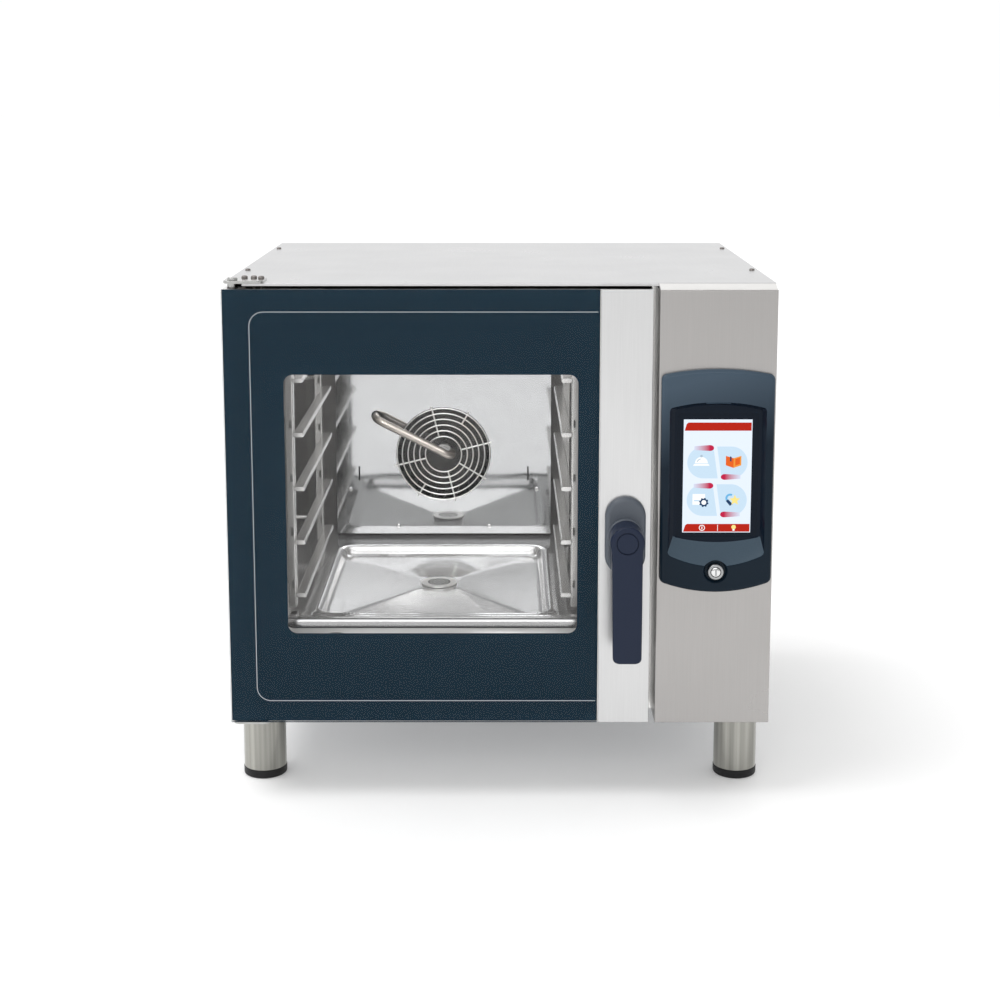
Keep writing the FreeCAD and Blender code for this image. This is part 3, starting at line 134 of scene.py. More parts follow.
def arched(x0, x1, low, low_mid, high, high_mid, radius, depth, sides=14, corners=6):
    """Closed loop, seen from the front, with straight sides, bowed top and bottom, and round corners."""
    middle, half = (x0 + x1) / 2, (x1 - x0) / 2

    def bow(side, peak, x):
        return side + (peak - side) * (1 - ((x - middle) / half) ** 2)

    def curve(a, b, c):
        points = []
        for i in range(corners):
            t = (i + 1) / (corners + 1)
            points.append(tuple((1 - t) ** 2 * a[k] + 2 * t * (1 - t) * b[k] + t * t * c[k] for k in (0, 1)))
        return points

    def bowed_side(start, end, side, peak):
        across = [start + (end - start) * t for t in steps]
        return [(x, bow(side, peak, x)) for x in across]

    steps = [i / sides for i in range(sides + 1)]
    bottom = bowed_side(x0 + radius, x1 - radius, low, low_mid)
    right = [(x1, low + radius + (high - low - 2 * radius) * t) for t in steps]
    top = bowed_side(x1 - radius, x0 + radius, high, high_mid)
    left = [(x0, high - radius + (low - high + 2 * radius) * t) for t in steps]
    outline = bottom + curve(bottom[-1], (x1, low), right[0]) + right + curve(right[-1], (x1, high), top[0])
    outline += top + curve(top[-1], (x0, high), left[0]) + left + curve(left[-1], (x0, low), bottom[0])
    return [at(x, depth, z) for x, z in outline]


def rounded(x0, x1, y0, y1, radius, corners=8, sides=6):
    """Corner-rounded rectangle as (u, v) pairs, anticlockwise from the low left."""
    outline = []
    centres = ((x1 - radius, y0 + radius, -90), (x1 - radius, y1 - radius, 0),
               (x0 + radius, y1 - radius, 90), (x0 + radius, y0 + radius, 180))
    for i, (cx, cy, start) in enumerate(centres):
        for k in range(corners + 1):
            a = math.radians(start + 90 * k / corners)
            outline.append((cx + radius * math.cos(a), cy + radius * math.sin(a)))
        nx, ny, after = centres[(i + 1) % 4]
        a = math.radians(after)
        first, last = outline[-1], (nx + radius * math.cos(a), ny + radius * math.sin(a))
        for k in range(1, sides):
            t = k / sides
            outline.append((first[0] + (last[0] - first[0]) * t, first[1] + (last[1] - first[1]) * t))
    return outline


# ---- materials ----------------------------------------------------------------------------------
def shaded(name):
    """New material with its Principled shader and an empty pattern."""
    material = bpy.data.materials.new(name)
    material.use_nodes = True
    return material, material.node_tree.nodes["Principled BSDF"]


def noise(material, stretch, detail=3.0, low=0.0, high=1.0):
    """Noise in object space, stretched along the axes, whose middle half is spread between two values."""
    tree = material.node_tree
    place = tree.nodes.new("ShaderNodeTexCoord")
    scale = tree.nodes.new("ShaderNodeMapping")
    scale.inputs["Scale"].default_value = stretch
    grain = tree.nodes.new("ShaderNodeTexNoise")
    grain.inputs["Scale"].default_value = 1.0
    grain.inputs["Detail"].default_value = detail
    reach = tree.nodes.new("ShaderNodeMapRange")
    reach.inputs["From Min"].default_value = 0.25
    reach.inputs["From Max"].default_value = 0.75
    reach.inputs["To Min"].default_value = low
    reach.inputs["To Max"].default_value = high
    tree.links.new(place.outputs["Object"], scale.inputs["Vector"])
    tree.links.new(scale.outputs["Vector"], grain.inputs["Vector"])
    tree.links.new(grain.outputs["Fac"], reach.inputs["Value"])
    return reach.outputs["Result"]


def colour_between(material, dark, light, amount, socket):
    """Colour that runs between two colours with the amount, into a socket."""
    tree = material.node_tree
    mix = tree.nodes.new("ShaderNodeMix")
    mix.data_type = "RGBA"
    mix.inputs["A"].default_value = (*dark, 1)
    mix.inputs["B"].default_value = (*light, 1)
    tree.links.new(amount, mix.inputs["Factor"])
    tree.links.new(mix.outputs["Result"], socket)


def bumped(material, height, distance):
    """Bump from a height, into the shader's normal."""
    tree = material.node_tree
    bump = tree.nodes.new("ShaderNodeBump")
    bump.inputs["Strength"].default_value = 1.0
    bump.inputs["Distance"].default_value = distance
    tree.links.new(height, bump.inputs["Height"])
    tree.links.new(bump.outputs["Normal"], tree.nodes["Principled BSDF"].inputs["Normal"])


def varied(name, colour, spread, stretch, metallic, roughness, bump=0.0, detail=3.0, shine=0.5):
    """Principled surface whose colour, roughness and relief each follow a noise of their own.

    The colour runs spread either way, roughness is a lowest and a highest value, bump is a height in metres.
    """
    material, shader = shaded(name)
    dark = tuple(c * (1 - spread) for c in colour)
    light = tuple(min(1.0, c * (1 + spread)) for c in colour)
    grain = noise(material, stretch, detail)
    colour_between(material, dark, light, grain, shader.inputs["Base Color"])
    patches = noise(material, (9, 9, 9), 4.0, roughness[0], roughness[1])
    material.node_tree.links.new(patches, shader.inputs["Roughness"])
    shader.inputs["Metallic"].default_value = metallic
    shader.inputs["Specular IOR Level"].default_value = shine
    if bump:
        bumped(material, noise(material, tuple(s * 1.3 for s in stretch), detail), bump)
    return material


ALONG_X, ALONG_Y, ALONG_Z = (14, 1500, 1500), (1500, 14, 1500), (1500, 1500, 14)


def brushed(name, colour, along, roughness=(0.26, 0.36)):
    """Stainless sheet with a fine linear brush finish along one axis."""
    return varied(name, colour, 0.03, along, 1.0, roughness, bump=0.00001, detail=2.0)


def polished(name, colour=(0.74, 0.735, 0.72), roughness=(0.08, 0.17), wave=0.0005):
    """Bright rolled stainless sheet with a faint waviness and wiping marks."""
    material = varied(name, colour, 0.03, (35, 35, 35), 1.0, roughness)
    bumped(material, noise(material, (11, 11, 11), 1.0), wave)
    return material


def glass(name):
    """Clear pane: what is behind shows through, under a reflection that grows at a glancing view."""
    material, shader = shaded(name)
    tree = material.node_tree
    shader.inputs["Metallic"].default_value = 1.0
    shader.inputs["Base Color"].default_value = (0.95, 0.97, 0.98, 1)
    shader.inputs["Roughness"].default_value = 0.02
    clear = tree.nodes.new("ShaderNodeBsdfTransparent")
    clear.inputs["Color"].default_value = (1, 1, 1, 1)
    edge = tree.nodes.new("ShaderNodeFresnel")
    edge.inputs["IOR"].default_value = 1.16
    mix = tree.nodes.new("ShaderNodeMixShader")
    tree.links.new(edge.outputs["Fac"], mix.inputs["Fac"])
    tree.links.new(clear.outputs["BSDF"], mix.inputs[1])
    tree.links.new(shader.outputs["BSDF"], mix.inputs[2])
    tree.links.new(mix.outputs["Shader"], tree.nodes["Material Output"].inputs["Surface"])
    return material


def lit(name, colour, strength=1.0):
    """Part of the screen's picture: its own light under a smooth dark surface, with a faint grain."""
    material, shader = shaded(name)
    grain = noise(material, (4000, 4000, 4000), 0.0)
    light = tuple(min(1.0, c * 0.10) for c in colour)
    colour_between(material, tuple(c * 0.06 for c in colour), light, grain, shader.inputs["Base Color"])
    shader.inputs["Roughness"].default_value = 0.2
    shader.inputs["Specular IOR Level"].default_value = 0.1
    shader.inputs["Emission Color"].default_value = (*colour, 1)
    shader.inputs["Emission Strength"].default_value = strength
    return material


def fading(name, near, far, start, end):
    """Part of the screen's picture whose light runs between two colours along X, in metres."""
    material = lit(name, near)
    tree = material.node_tree
    place = tree.nodes.new("ShaderNodeTexCoord")
    split = tree.nodes.new("ShaderNodeSeparateXYZ")
    reach = tree.nodes.new("ShaderNodeMapRange")
    reach.inputs["From Min"].default_value = start
    reach.inputs["From Max"].default_value = end
    tree.links.new(place.outputs["Object"], split.inputs["Vector"])
    tree.links.new(split.outputs["X"], reach.inputs["Value"])
    shader = tree.nodes["Principled BSDF"]
    colour_between(material, near, far, reach.outputs["Result"], shader.inputs["Emission Color"])
    return material


def galvanised(name):
    """Zinc-coated sheet with its crystal pattern."""
    material, shader = shaded(name)
    tree = material.node_tree
    place = tree.nodes.new("ShaderNodeTexCoord")
    cells = tree.nodes.new("ShaderNodeTexVoronoi")
    cells.inputs["Scale"].default_value = 150.0
    tree.links.new(place.outputs["Object"], cells.inputs["Vector"])
    colour_between(material, (0.46, 0.47, 0.485), (0.55, 0.56, 0.575), cells.outputs["Color"],
                   shader.inputs["Base Color"])
    tree.links.new(noise(material, (60, 60, 60), 3.0, 0.32, 0.5), shader.inputs["Roughness"])
    shader.inputs["Metallic"].default_value = 1.0
    return material


def bezel_plastic_painted_sheen(name):
    """Glossy moulded plastic with a painted sheen: slate at its upper-left top edge, falling to near black
    lower down.
    """
    material, shader = shaded(name)
    tree = material.node_tree
    place = tree.nodes.new("ShaderNodeTexCoord")
    slope = tree.nodes.new("ShaderNodeVectorMath")
    slope.operation = "DOT_PRODUCT"
    slope.inputs[1].default_value = (-0.25, 0.0, 0.97)
    reach = tree.nodes.new("ShaderNodeMapRange")
    reach.inputs["From Min"].default_value = 0.375
    reach.inputs["From Max"].default_value = 0.475
    tree.links.new(place.outputs["Object"], slope.inputs[0])
    tree.links.new(slope.outputs["Value"], reach.inputs["Value"])
    # Painted sheen: the colour is lighter towards the upper-left top edge and darker lower down, in place of
    # the light falling there.
    colour_between(material, (0.0055, 0.0130, 0.0225), (0.056, 0.083, 0.114), reach.outputs["Result"],
                   shader.inputs["Base Color"])
    tree.links.new(noise(material, (30, 30, 30), 3.0, 0.16, 0.24), shader.inputs["Roughness"])
    shader.inputs["Specular IOR Level"].default_value = 0.12
    bumped(material, noise(material, (900, 900, 900)), 0.00001)
    return material


NAVY = (0.0105, 0.0295, 0.0480)
SLATE = (0.0095, 0.0165, 0.0385)

LOOKS = {
    "strip": brushed("strip_steel", (0.62, 0.62, 0.62), ALONG_Z),
    "fascia": brushed("fascia_steel", (0.40, 0.387, 0.378), ALONG_Z),
    "panel": brushed("panel_steel", (0.52, 0.52, 0.515), ALONG_Z),
    "cover": brushed("cover_steel", (0.63, 0.63, 0.635), ALONG_Y),
    # Leg tubes: the strong vertical streaks in their colour are partly brushing grain and partly painted
    # reflection bands.
    "leg": varied("leg_steel", (0.37, 0.365, 0.335), 0.32, (120, 120, 1.5), 1.0, (0.14, 0.2), detail=2.0),
    "part": brushed("part_steel", (0.45, 0.45, 0.44), ALONG_X),
    "hinge": varied("hinge_steel", (0.42, 0.42, 0.41), 0.12, (90, 90, 90), 1.0, (0.10, 0.18)),
    "bright": polished("bright_sheet"),
    "baffle": polished("baffle_sheet", (0.52, 0.525, 0.53), (0.03, 0.07), 0.00015),
    "pan": varied("pan_sheet", (0.80, 0.80, 0.80), 0.02, (35, 35, 35), 0.82, (0.10, 0.17)),
    "sieve": varied("sieve_sheet", (0.92, 0.91, 0.89), 0.03, (90, 90, 90), 0.75, (0.25, 0.35)),
    "rail": varied("rail_sheet", (0.78, 0.77, 0.755), 0.03, (35, 35, 35), 0.72, (0.18, 0.28)),
    "satin": varied("satin_sheet", (0.80, 0.79, 0.775), 0.03, (35, 35, 35), 0.7, (0.25, 0.38)),
    "wire": varied("stainless_wire", (0.90, 0.89, 0.87), 0.05, (300, 300, 300), 1.0, (0.25, 0.35), 0.00001),
    "tube": varied("spray_tube_steel", (0.50, 0.46, 0.42), 0.18, (60, 60, 260), 1.0, (0.22, 0.38), 0.00003),
    "chrome": varied("plated_metal", (0.72, 0.72, 0.72), 0.03, (120, 120, 120), 1.0, (0.10, 0.2)),
    "knob": varied("knob_metal", (0.36, 0.365, 0.37), 0.12, (2500, 2500, 60), 1.0, (0.22, 0.34), 0.00002),
    "navy": varied("navy_print", NAVY, 0.05, (160, 160, 160), 0.0, (0.30, 0.42), shine=0.05),
    "pane": glass("clear_pane"),
    "slate": varied("slate_plastic", SLATE, 0.06, (900, 900, 900), 0.0, (0.30, 0.42), 0.00003, shine=0.22),
    "bezel": bezel_plastic_painted_sheen("bezel_plastic_painted_sheen"),
    "well": varied("bezel_well", (0.0040, 0.0085, 0.0170), 0.1, (900, 900, 900), 0.0, (0.10, 0.18), 0.00001,
                   shine=0.10),
    # Painted light: the ramp's upward faces get this lighter slate in place of the light falling on the
    # slope.
    "ramp": varied("bezel_ramp_painted_light", (0.052, 0.078, 0.104), 0.05, (900, 900, 900), 0.0, (0.2, 0.3), 0.00001,
                   shine=0.15),
    "rose": varied("rose_plastic", (0.075, 0.088, 0.108), 0.06, (900, 900, 900), 0.0, (0.36, 0.5), 0.00003),
    "black": varied("black_plastic", (0.012, 0.012, 0.013), 0.15, (700, 700, 700), 0.0, (0.38, 0.55),
                    0.00004, shine=0.25),
    "rubber": varied("silicone_seal", (0.018, 0.018, 0.019), 0.2, (400, 400, 400), 0.0, (0.55, 0.75),
                     0.00005),
    "zinc": galvanised("galvanised_sheet"),
    "wool": varied("mineral_wool", (0.62, 0.56, 0.40), 0.25, (260, 90, 260), 0.0, (0.85, 0.98),
                   0.0015, 6.0),
    "board": varied("circuit_board", (0.015, 0.11, 0.045), 0.3, (500, 500, 500), 0.0, (0.3, 0.5),
                    0.0001, 5.0),
    "white": varied("white_plastic", (0.70, 0.70, 0.68), 0.04, (300, 300, 300), 0.0, (0.35, 0.5), 0.00003),
    "sheath": varied("heater_sheath", (0.26, 0.24, 0.23), 0.2, (90, 90, 90), 1.0, (0.35, 0.55), 0.00005),
    "lens": varied("lamp_lens", (0.80, 0.80, 0.74), 0.05, (400, 400, 400), 0.0, (0.12, 0.25), 0.00004),
    "display": varied("display_glass", (0.0035, 0.0075, 0.0150), 0.1, (200, 200, 200), 0.0, (0.05, 0.1),
                      shine=0.1),
    "wall": polished("cavity_wall_sheet", (0.74, 0.735, 0.725), (0.05, 0.10), 0.0003),
    "dull": varied("rear_sheet", (0.16, 0.155, 0.15), 0.1, (60, 60, 60), 1.0, (0.3, 0.42)),
    "wheel": varied("fan_wheel_sheet", (0.075, 0.072, 0.07), 0.15, (90, 90, 90), 1.0, (0.3, 0.45)),
}

NODE_LOOKS = {
    "strip": ["handle_panel"],
    "fascia": ["control_fascia"],
    "panel": ["left_side_panel", "right_side_panel"],
    "cover": ["top_cover"],
    "leg": ["leg_tubes"],
    "part": ["latch_spindle", "motor_shaft", "drain_pipe", "vent_pipe"],
    "hinge": ["upper_hinge", "lower_hinge"],
    "sieve": ["drain_sieve"],
    "bright": ["front_frame", "door_shell"],
    "wall": ["cavity_liner"],
    "dull": ["cavity_back_wall"],
    "wheel": ["fan_impeller"],
    "baffle": ["baffle_panel"],
    "rail": ["left_rack", "right_rack"],
    "wire": ["fan_guard"],
    "tube": ["water_tube"],
    "chrome": ["baffle_screws", "knob_stem", "temperature_probe", "cavity_lamp", "door_striker"],
    "knob": ["knob_cap"],
    "navy": ["door_glass_print"],
    "pane": ["door_outer_glass", "door_inner_glass"],
    "rose": ["handle_escutcheon"],
    "slate": ["handle_cap"],
    "black": ["foot_front_left", "foot_front_right", "foot_rear_left", "foot_rear_right", "cable_gland",
              "hinge_bushes", "fan_motor", "cooling_fan_frame", "cooling_fan_rotor", "screen_module"],
    "rubber": ["door_gasket", "inner_glass_seal"],
    "zinc": ["base_tray", "rear_panel", "compartment_partition"],
    "wool": ["insulation"],
    "board": ["control_board"],
    "white": ["water_valve"],
    "sheath": ["heating_element", "casing_screws", "hinge_screws"],
    "lens": ["lamp_glass"],
    "display": ["screen_glass"],
}


def dress_nodes():
    """Gives every CAD node its finished material."""
    for look, names in NODE_LOOKS.items():
        for name in names:
            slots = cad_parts[name].data.materials
            slots.clear()
            slots.append(LOOKS[look])


# ---- door ---------------------------------------------------------------------------------------
def make_pinstripe():
    """Thin pale line round the glass, open towards the handle, with round corners on the left."""
    left, right = span("door_outer_glass")[0] + 35.0, span("door_outer_glass")[1] - 3.0
    low, high, radius, wide = 131.7, 641.0, 18.0, 0.95
    inner, outer = [], []
    steps = 16
    for cz, start in ((high - radius, 90), (low + radius, 180)):
        for k in range(steps + 1):
            a = math.radians(start + 90 * k / steps)
            for line, r in ((inner, radius - wide / 2), (outer, radius + wide / 2)):
                line.append((left + radius + r * math.cos(a), cz + r * math.sin(a)))
    for line, side in ((inner, -1), (outer, 1)):
        line.insert(0, (right, high + side * wide / 2))
        line.append((right, low - side * wide / 2))
    points, faces = [], []
    for depth in (-0.02, -0.14):
        points += [at(x, depth, z) for x, z in outer + inner]
    count, half = len(outer), 2 * len(outer)
    for j in range(count - 1):
        for shift in (0, half):
            faces.append((shift + j, shift + j + 1, shift + count + j + 1, shift + count + j))
        for line in (0, count):
            faces.append((line + j, line + j + 1, half + line + j + 1, half + line + j))
    for end in (0, count - 1):
        faces.append((end, count + end, half + count + end, half + end))
    pale = varied("pinstripe_enamel", (0.42, 0.47, 0.50), 0.05, (200, 200, 200), 0.0, (0.3, 0.4))
    finish_mesh("door_pinstripe", mesh_from("door_pinstripe", points, faces), pale, "door")


def make_door_reveal():
    """Steel lining between the two panes, whose lower side slopes up towards the inner one."""
    x0, x1, z0, z1 = -283.0, 109.0, 214.0, 570.0
    loops = []
    for depth, inset, raised in ((6.0, 0.2, 0.2), (38.4, 0.2, 0.2), (38.4, 1.0, 3.2), (6.0, 1.0, 0.8)):
        outline = rounded(x0 + inset, x1 - inset, z0 + raised, z1 - inset, 11.0)
        loops.append([at(x, depth, z) for x, z in outline])
    ring = loft("door_reveal", loops + [loops[0]], caps=(False, False))
    finish_mesh("door_reveal", ring, LOOKS["satin"], "door")


def make_lever():
    """Turning lever: one smooth moulding from the round hub down to the rounded end of the grip."""
    _, _, front, _, low, high = span("handle_lever")
    cap = span("handle_cap")
    x, z = (cap[0] + cap[1]) / 2, (cap[4] + cap[5]) / 2
    hub, hub_back, end, neck = high - z, -10.6, 6.0, 30
    grip_thick, dip, dip_long = 14, 2.2, 70
    rows = [low + end * (1 - math.cos(math.radians(a))) for a in range(0, 91, 10)]
    rows += [low + end + (z - neck - low - end) * k / 16 for k in range(1, 17)]
    rows += [z - neck + neck * k / 8 for k in range(1, 9)]
    rows += [z + hub * math.sin(math.radians(a)) for a in range(6, 91, 6)]
    loops = []
    for row in rows:
        grip_left, grip_right = 19.6 - 2.6 * (z - row) / (z - low), 19.4
        if row > z:
            grip_left = grip_right = 0.0
        if row > z - hub:
            width = math.sqrt(max(0.02, hub ** 2 - (row - z) ** 2))
            grip_left, grip_right = max(grip_left, width), max(grip_right, width)
        if row < low + end:
            inset = end - math.sqrt(max(0.0, end ** 2 - (low + end - row) ** 2))
            grip_left, grip_right = grip_left - inset, grip_right - inset
        blend = min(1.0, max(0.0, (row - (z - 52)) / neck))
        back = front + grip_thick + (hub_back - front - grip_thick) * (blend * blend * (3 - 2 * blend))
        face = front + dip * min(1.0, max(0.0, (low + dip_long - row) / dip_long)) ** 2
        wide = grip_left + grip_right
        radius = min(3.4, wide / 2 - 0.05)
        outline = rounded(x - grip_left, x + grip_right, face, back, max(radius, 0.05))
        loops.append([at(u, v, row) for u, v in outline])
    body = loft("handle_moulding", loops)
    seat = turned("seat", [(14.3, front - 2), (14.3, front + 1.6)], x, z)
    lever = finish_mesh("handle_moulding", carve(body, seat), LOOKS["slate"], "handle")
    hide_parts("handle_lever")
    crown = [(0.01, 0.1), (9, 0.16), (12.6, 0.35), (13.3, 0.9), (13.4, 1.6)]
    crown = turned("handle_cap_crown", [(radius, front + rise) for radius, rise in crown], x, z)
    cap_piece = finish_mesh("handle_cap_crown", crown, LOOKS["slate"], "handle")
    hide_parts("handle_cap")
    ring = [(17, -9.9), (23.2, -9.9), (23.4, -11.5), (22.9, -13.4), (21.6, -14.4), (17, -14.4)]
    ring = turned("handle_collar", ring, x, z)
    finish_mesh("handle_collar", ring, LOOKS["rose"], "door")


# ---- control panel ------------------------------------------------------------------------------
def make_bezel():
    """Moulded bezel: a bowed outline, a sunk screen field with sloping walls, and a ramp above the knob."""
    x0, x1, front, _, low_mid, high_mid = span("control_bezel")
    low, high = low_mid + 13.6, high_mid - 7.6

    def outer(inset, depth):
        radius = 7.0 - min(inset, 4.0)
        return arched(x0 + inset, x1 - inset, low + inset, low_mid + inset, high - inset, high_mid - inset,
                      radius, depth)

    def inner(t, depth):
        return arched(214.8 + 7.2 * t, 337.6 - 4.8 * t, 330.0 + 21.0 * t, 315.0 + 29.0 * t, 519.5 - 3.0 * t,
                      527.6 - 4.4 * t, 5.0 - t, depth)

    def screen(grow, depth):
        glass = span("screen_glass")
        low, high = glass[4] + 0.3 - grow, glass[5] - 0.3 + grow
        return arched(glass[0] + 0.3 - grow, glass[1] - 0.3 + grow, low, low, high, high, 3.0, depth)

    loops = [outer(1.2, -0.05), outer(0.0, -0.6), outer(0.0, front * 0.45), outer(0.35, front * 0.66),
             outer(1.2, front * 0.83), outer(2.6, front * 0.95), outer(4.6, front), outer(7.5, front)]
    loops += [inner(-0.10, front), inner(-0.03, front + 0.15), inner(0.04, front + 0.8),
              inner(0.5, front + 3.6), inner(0.95, -2.9), inner(1.02, -2.5)]
    loops += [screen(0.4, -2.45), screen(0.0, -2.2), screen(0.0, -0.05)]
    bezel = loft("control_bezel_moulding", loops + [loops[0]], caps=(False, False))
    knob = span("knob_cap")
    x, z = (knob[0] + knob[1]) / 2, (knob[4] + knob[5]) / 2
    dish = [(15.6, front - 3), (15.6, front + 0.4), (14.4, front + 1.6), (13.2, -4.2)]
    cut = carve(bezel, turned("dish", dish, x, z))
    piece = finish_mesh("control_bezel_moulding", cut, LOOKS["bezel"], "cabinet", 30.0)
    # The second material is the ramp's painted light, the third the sunk screen field.
    piece.data.materials.append(LOOKS["ramp"])
    piece.data.materials.append(LOOKS["well"])
    for polygon in piece.data.polygons:
        polygon.material_index = bezel_zone(polygon)
    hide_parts("control_bezel")


def make_knob_face():
    """Domed centre of the metal knob, inside a dark groove, with a grip bar across it."""
    knob = span("knob_cap")
    x, z, front = (knob[0] + knob[1]) / 2, (knob[4] + knob[5]) / 2, knob[2]
    dome = [(0.01, -0.9), (3.0, -0.8), (5.0, -0.45), (5.8, -0.05), (5.8, 0.3)]
    dome = turned("knob_dome", [(radius, front + rise) for radius, rise in dome], x, z, 48)
    finish_mesh("knob_dome", dome, LOOKS["chrome"], "knob")
    groove = [(5.8, -0.03), (6.9, -0.03), (6.9, 0.3), (5.8, 0.3)]
    groove = turned("knob_groove", [(radius, front + rise) for radius, rise in groove], x, z, 48)
    finish_mesh("knob_groove", groove, LOOKS["black"], "knob")
    shape = rounded(x - 1.1, x + 1.1, z - 4.6, z + 4.6, 1.0, 6, 2)
    bar = loft("knob_bar", [[at(u, depth, v) for u, v in shape] for depth in (front - 0.3, front - 1.5)])
    finish_mesh("knob_bar", bar, LOOKS["knob"], "knob")


def bezel_zone(polygon):
    """Material of a face of the bezel: 1 on the ramp above the knob, 2 in the sunk screen field, else 0."""
    x, depth, z = polygon.center.x / MM, (polygon.center.y - FRONT) / MM, polygon.center.z / MM
    # Upward faces of the ramp take the lighter material: painted light on the slope.
    if -8.95 < depth < -2.3 and 312 < z < 352 and polygon.normal.z > 0.1:
        return 1
    return 2 if depth > -8.8 and 216.0 < x < 336.5 and 322.0 < z < 526.0 else 0


def flat_shape(name, outline, layer, material):
    """Thin plate of the screen picture, from its outline seen from the front."""
    near = span("screen_glass")[2] - 0.06 * layer
    loops = [[at(x, depth, z) for x, z in outline] for depth in (near + 0.05, near)]
    return finish_mesh(name, loft(name, loops), material, "cabinet")


def plate(name, x0, x1, z0, z1, layer, material):
    """Upright rectangle of the screen picture."""
    return flat_shape(name, [(x0, z0), (x1, z0), (x1, z1), (x0, z1)], layer, material)


def circle(x, z, radius, steps=32, start=0.0, turn=360.0):
    """Points on a circle or on an arc of it."""
    count = steps if turn == 360.0 else steps + 1
    return [(x + radius * math.cos(math.radians(start + turn * i / steps)),
             z + radius * math.sin(math.radians(start + turn * i / steps))) for i in range(count)]


def make_screen():
    """Lit picture on the touch screen: bars, four rounded tiles and plain pictograms, with no words."""
    left, right, _, _, low, high = span("screen_glass")
    x0, x1, z0, z1 = left + 8.4, right - 8.6, low + 5.2, high - 8.8
    middle, wide, tall = (x0 + x1) / 2, x1 - x0, z1 - z0
    ground = lit("screen_ground", (0.77, 0.85, 0.95))
    red = lit("screen_red", (0.46, 0.013, 0.003))
    tile = lit("screen_tile", (0.57, 0.73, 0.87))
    white = lit("screen_white", (0.94, 0.96, 0.97))
    shapes = [("screen_picture", [(x0, z0), (x1, z0), (x1, z1), (x0, z1)], 1, ground)]
    for name, base, height in (("header", z1 - 14.5, 10.6), ("footer", z0 + 1.0, 10.2)):
        bar = [(x0 + 1.2, base), (x1 - 1.0, base), (x1 - 1.0, base + height), (x0 + 6.0, base + height),
               (x0 + 3.6, base + height * 0.8)]
        shapes.append((f"screen_{name}_bar", bar, 2, red))
    centre, radius = z0 + tall * 0.455, 23.5
    rows = (("upper", centre + radius + 1.0), ("lower", centre - radius - 1.0))
    lean, end = math.tan(math.radians(16)) * radius * 0.46, radius * 0.88
    for row, z in rows:
        for side, name in ((-1, "left"), (1, "right")):
            inner = [(middle + side * 2.4 - lean, z + end), (middle + side * 2.4 + lean, z - end)]
            bulge = middle + side * (wide * 0.435 - radius * 0.86)
            outer = circle(bulge, z, end, 20, -90 * side, 180)
            outline = outer + (inner if side > 0 else inner[::-1])
            shapes.append((f"screen_tile_{row}_{name}", outline, 2, tile))
    for side, name in ((-1, "left"), (1, "right")):
        tip = middle + side * 4.6
        fade = fading(f"screen_flare_{name}", (0.52, 0.012, 0.06), (0.66, 0.74, 0.90),
                      (tip + side * 5.0) * MM, (tip + side * 24.0) * MM)
        for row, z in rows:
            base, height = z - side * radius * 0.80, side * 7.6
            arc = [math.radians(a) for a in range(0, 181, 15)]
            outline = [(tip + side * 5.0 * (1 - math.sin(a)), base - height / 2 * math.cos(a)) for a in arc]
            outline += [(tip + side * 25.0, base + height * share) for share in (0.36, -0.30)]
            shapes.append((f"screen_flare_{row}_{name}", outline, 3, fade))
    for item in shapes:
        flat_shape(*item)
    make_pictograms(middle, wide, rows[0][1], rows[1][1], white)
    make_signs(x0, z0 + 6.1, wide, red, white)


def make_pictograms(middle, wide, high, low, white):
    """Four plain pictograms: a cloche, a book, a card with a gear, and a star with a swoosh."""
    grey = lit("picto_grey", (0.42, 0.52, 0.62))
    navy = lit("picto_navy", (0.01, 0.045, 0.12))
    orange = lit("picto_orange", (0.78, 0.12, 0.012))
    amber = lit("picto_amber", (0.85, 0.30, 0.04))
    yellow = lit("picto_yellow", (0.92, 0.76, 0.25))
    blue = lit("picto_blue", (0.15, 0.45, 0.75))
    offset = wide * 0.235

    def drawn(name, outline, layer, colour):
        flat_shape(f"picto_{name}", [(x + u, z + v) for u, v in outline], layer, colour)

    x, z = middle - offset, high
    drawn("cloche_dome", circle(0, -1.0, 8.2, 24, 0, 180), 6, white)
    drawn("cloche_plate", [(-10.5, -4.2), (10.5, -4.2), (9.0, -1.8), (-9.0, -1.8)], 7, white)
    drawn("cloche_knob", circle(0, 8.4, 1.7, 16), 7, grey)
    drawn("cloche_shade", circle(0, -1.0, 6.2, 12, 100, 60) + circle(0, -1.0, 5.2, 12, 160, -60), 7, grey)
    x, z = middle + offset, high + 1.0
    drawn("book_left", [(0, -8.0), (-9.8, -4.6), (-9.8, 7.6), (0, 4.6)], 6, orange)
    drawn("book_right", [(0, -8.0), (9.8, -4.6), (9.8, 7.6), (0, 4.6)], 6, amber)
    drawn("book_page", [(2.2, -5.0), (8.0, -2.8), (8.0, 5.4), (2.2, 3.6)], 7, orange)
    drawn("book_mark", [(-4.6, 1.0), (-2.6, 0.2), (-2.6, 6.4), (-4.6, 7.0)], 7, navy)
    x, z = middle - offset - 1.5, low
    drawn("card", [(-9, -6), (7, -6), (7, 8), (-9, 8)], 6, white)
    drawn("card_line", [(-7, -1.2), (0, -1.2), (0, -0.4), (-7, -0.4)], 7, blue)
    teeth = [(6.1 if (i // 3) % 2 else 5.0, 2 * math.pi * i / 48) for i in range(48)]
    drawn("gear", [(5.5 + r * math.cos(a), -3.0 + r * math.sin(a)) for r, a in teeth], 8, navy)
    drawn("gear_hole", circle(5.5, -3.0, 3.1, 24), 9, white)
    x, z = middle + offset + 1.0, low
    points = [(3.3 if i % 2 else 7.2, math.pi * i / 5) for i in range(10)]
    drawn("star", [(1.5 + r * math.sin(a), r * math.cos(a)) for r, a in points], 8, yellow)
    drawn("swoosh", circle(-4.5, 2.5, 6.0, 16, 60, 150) + circle(-4.5, 2.5, 3.4, 16, 210, -150), 7, blue)
    drawn("tick", [(-10, -1), (-7, 1), (-1, -5), (-4.5, -7.5)], 7, navy)


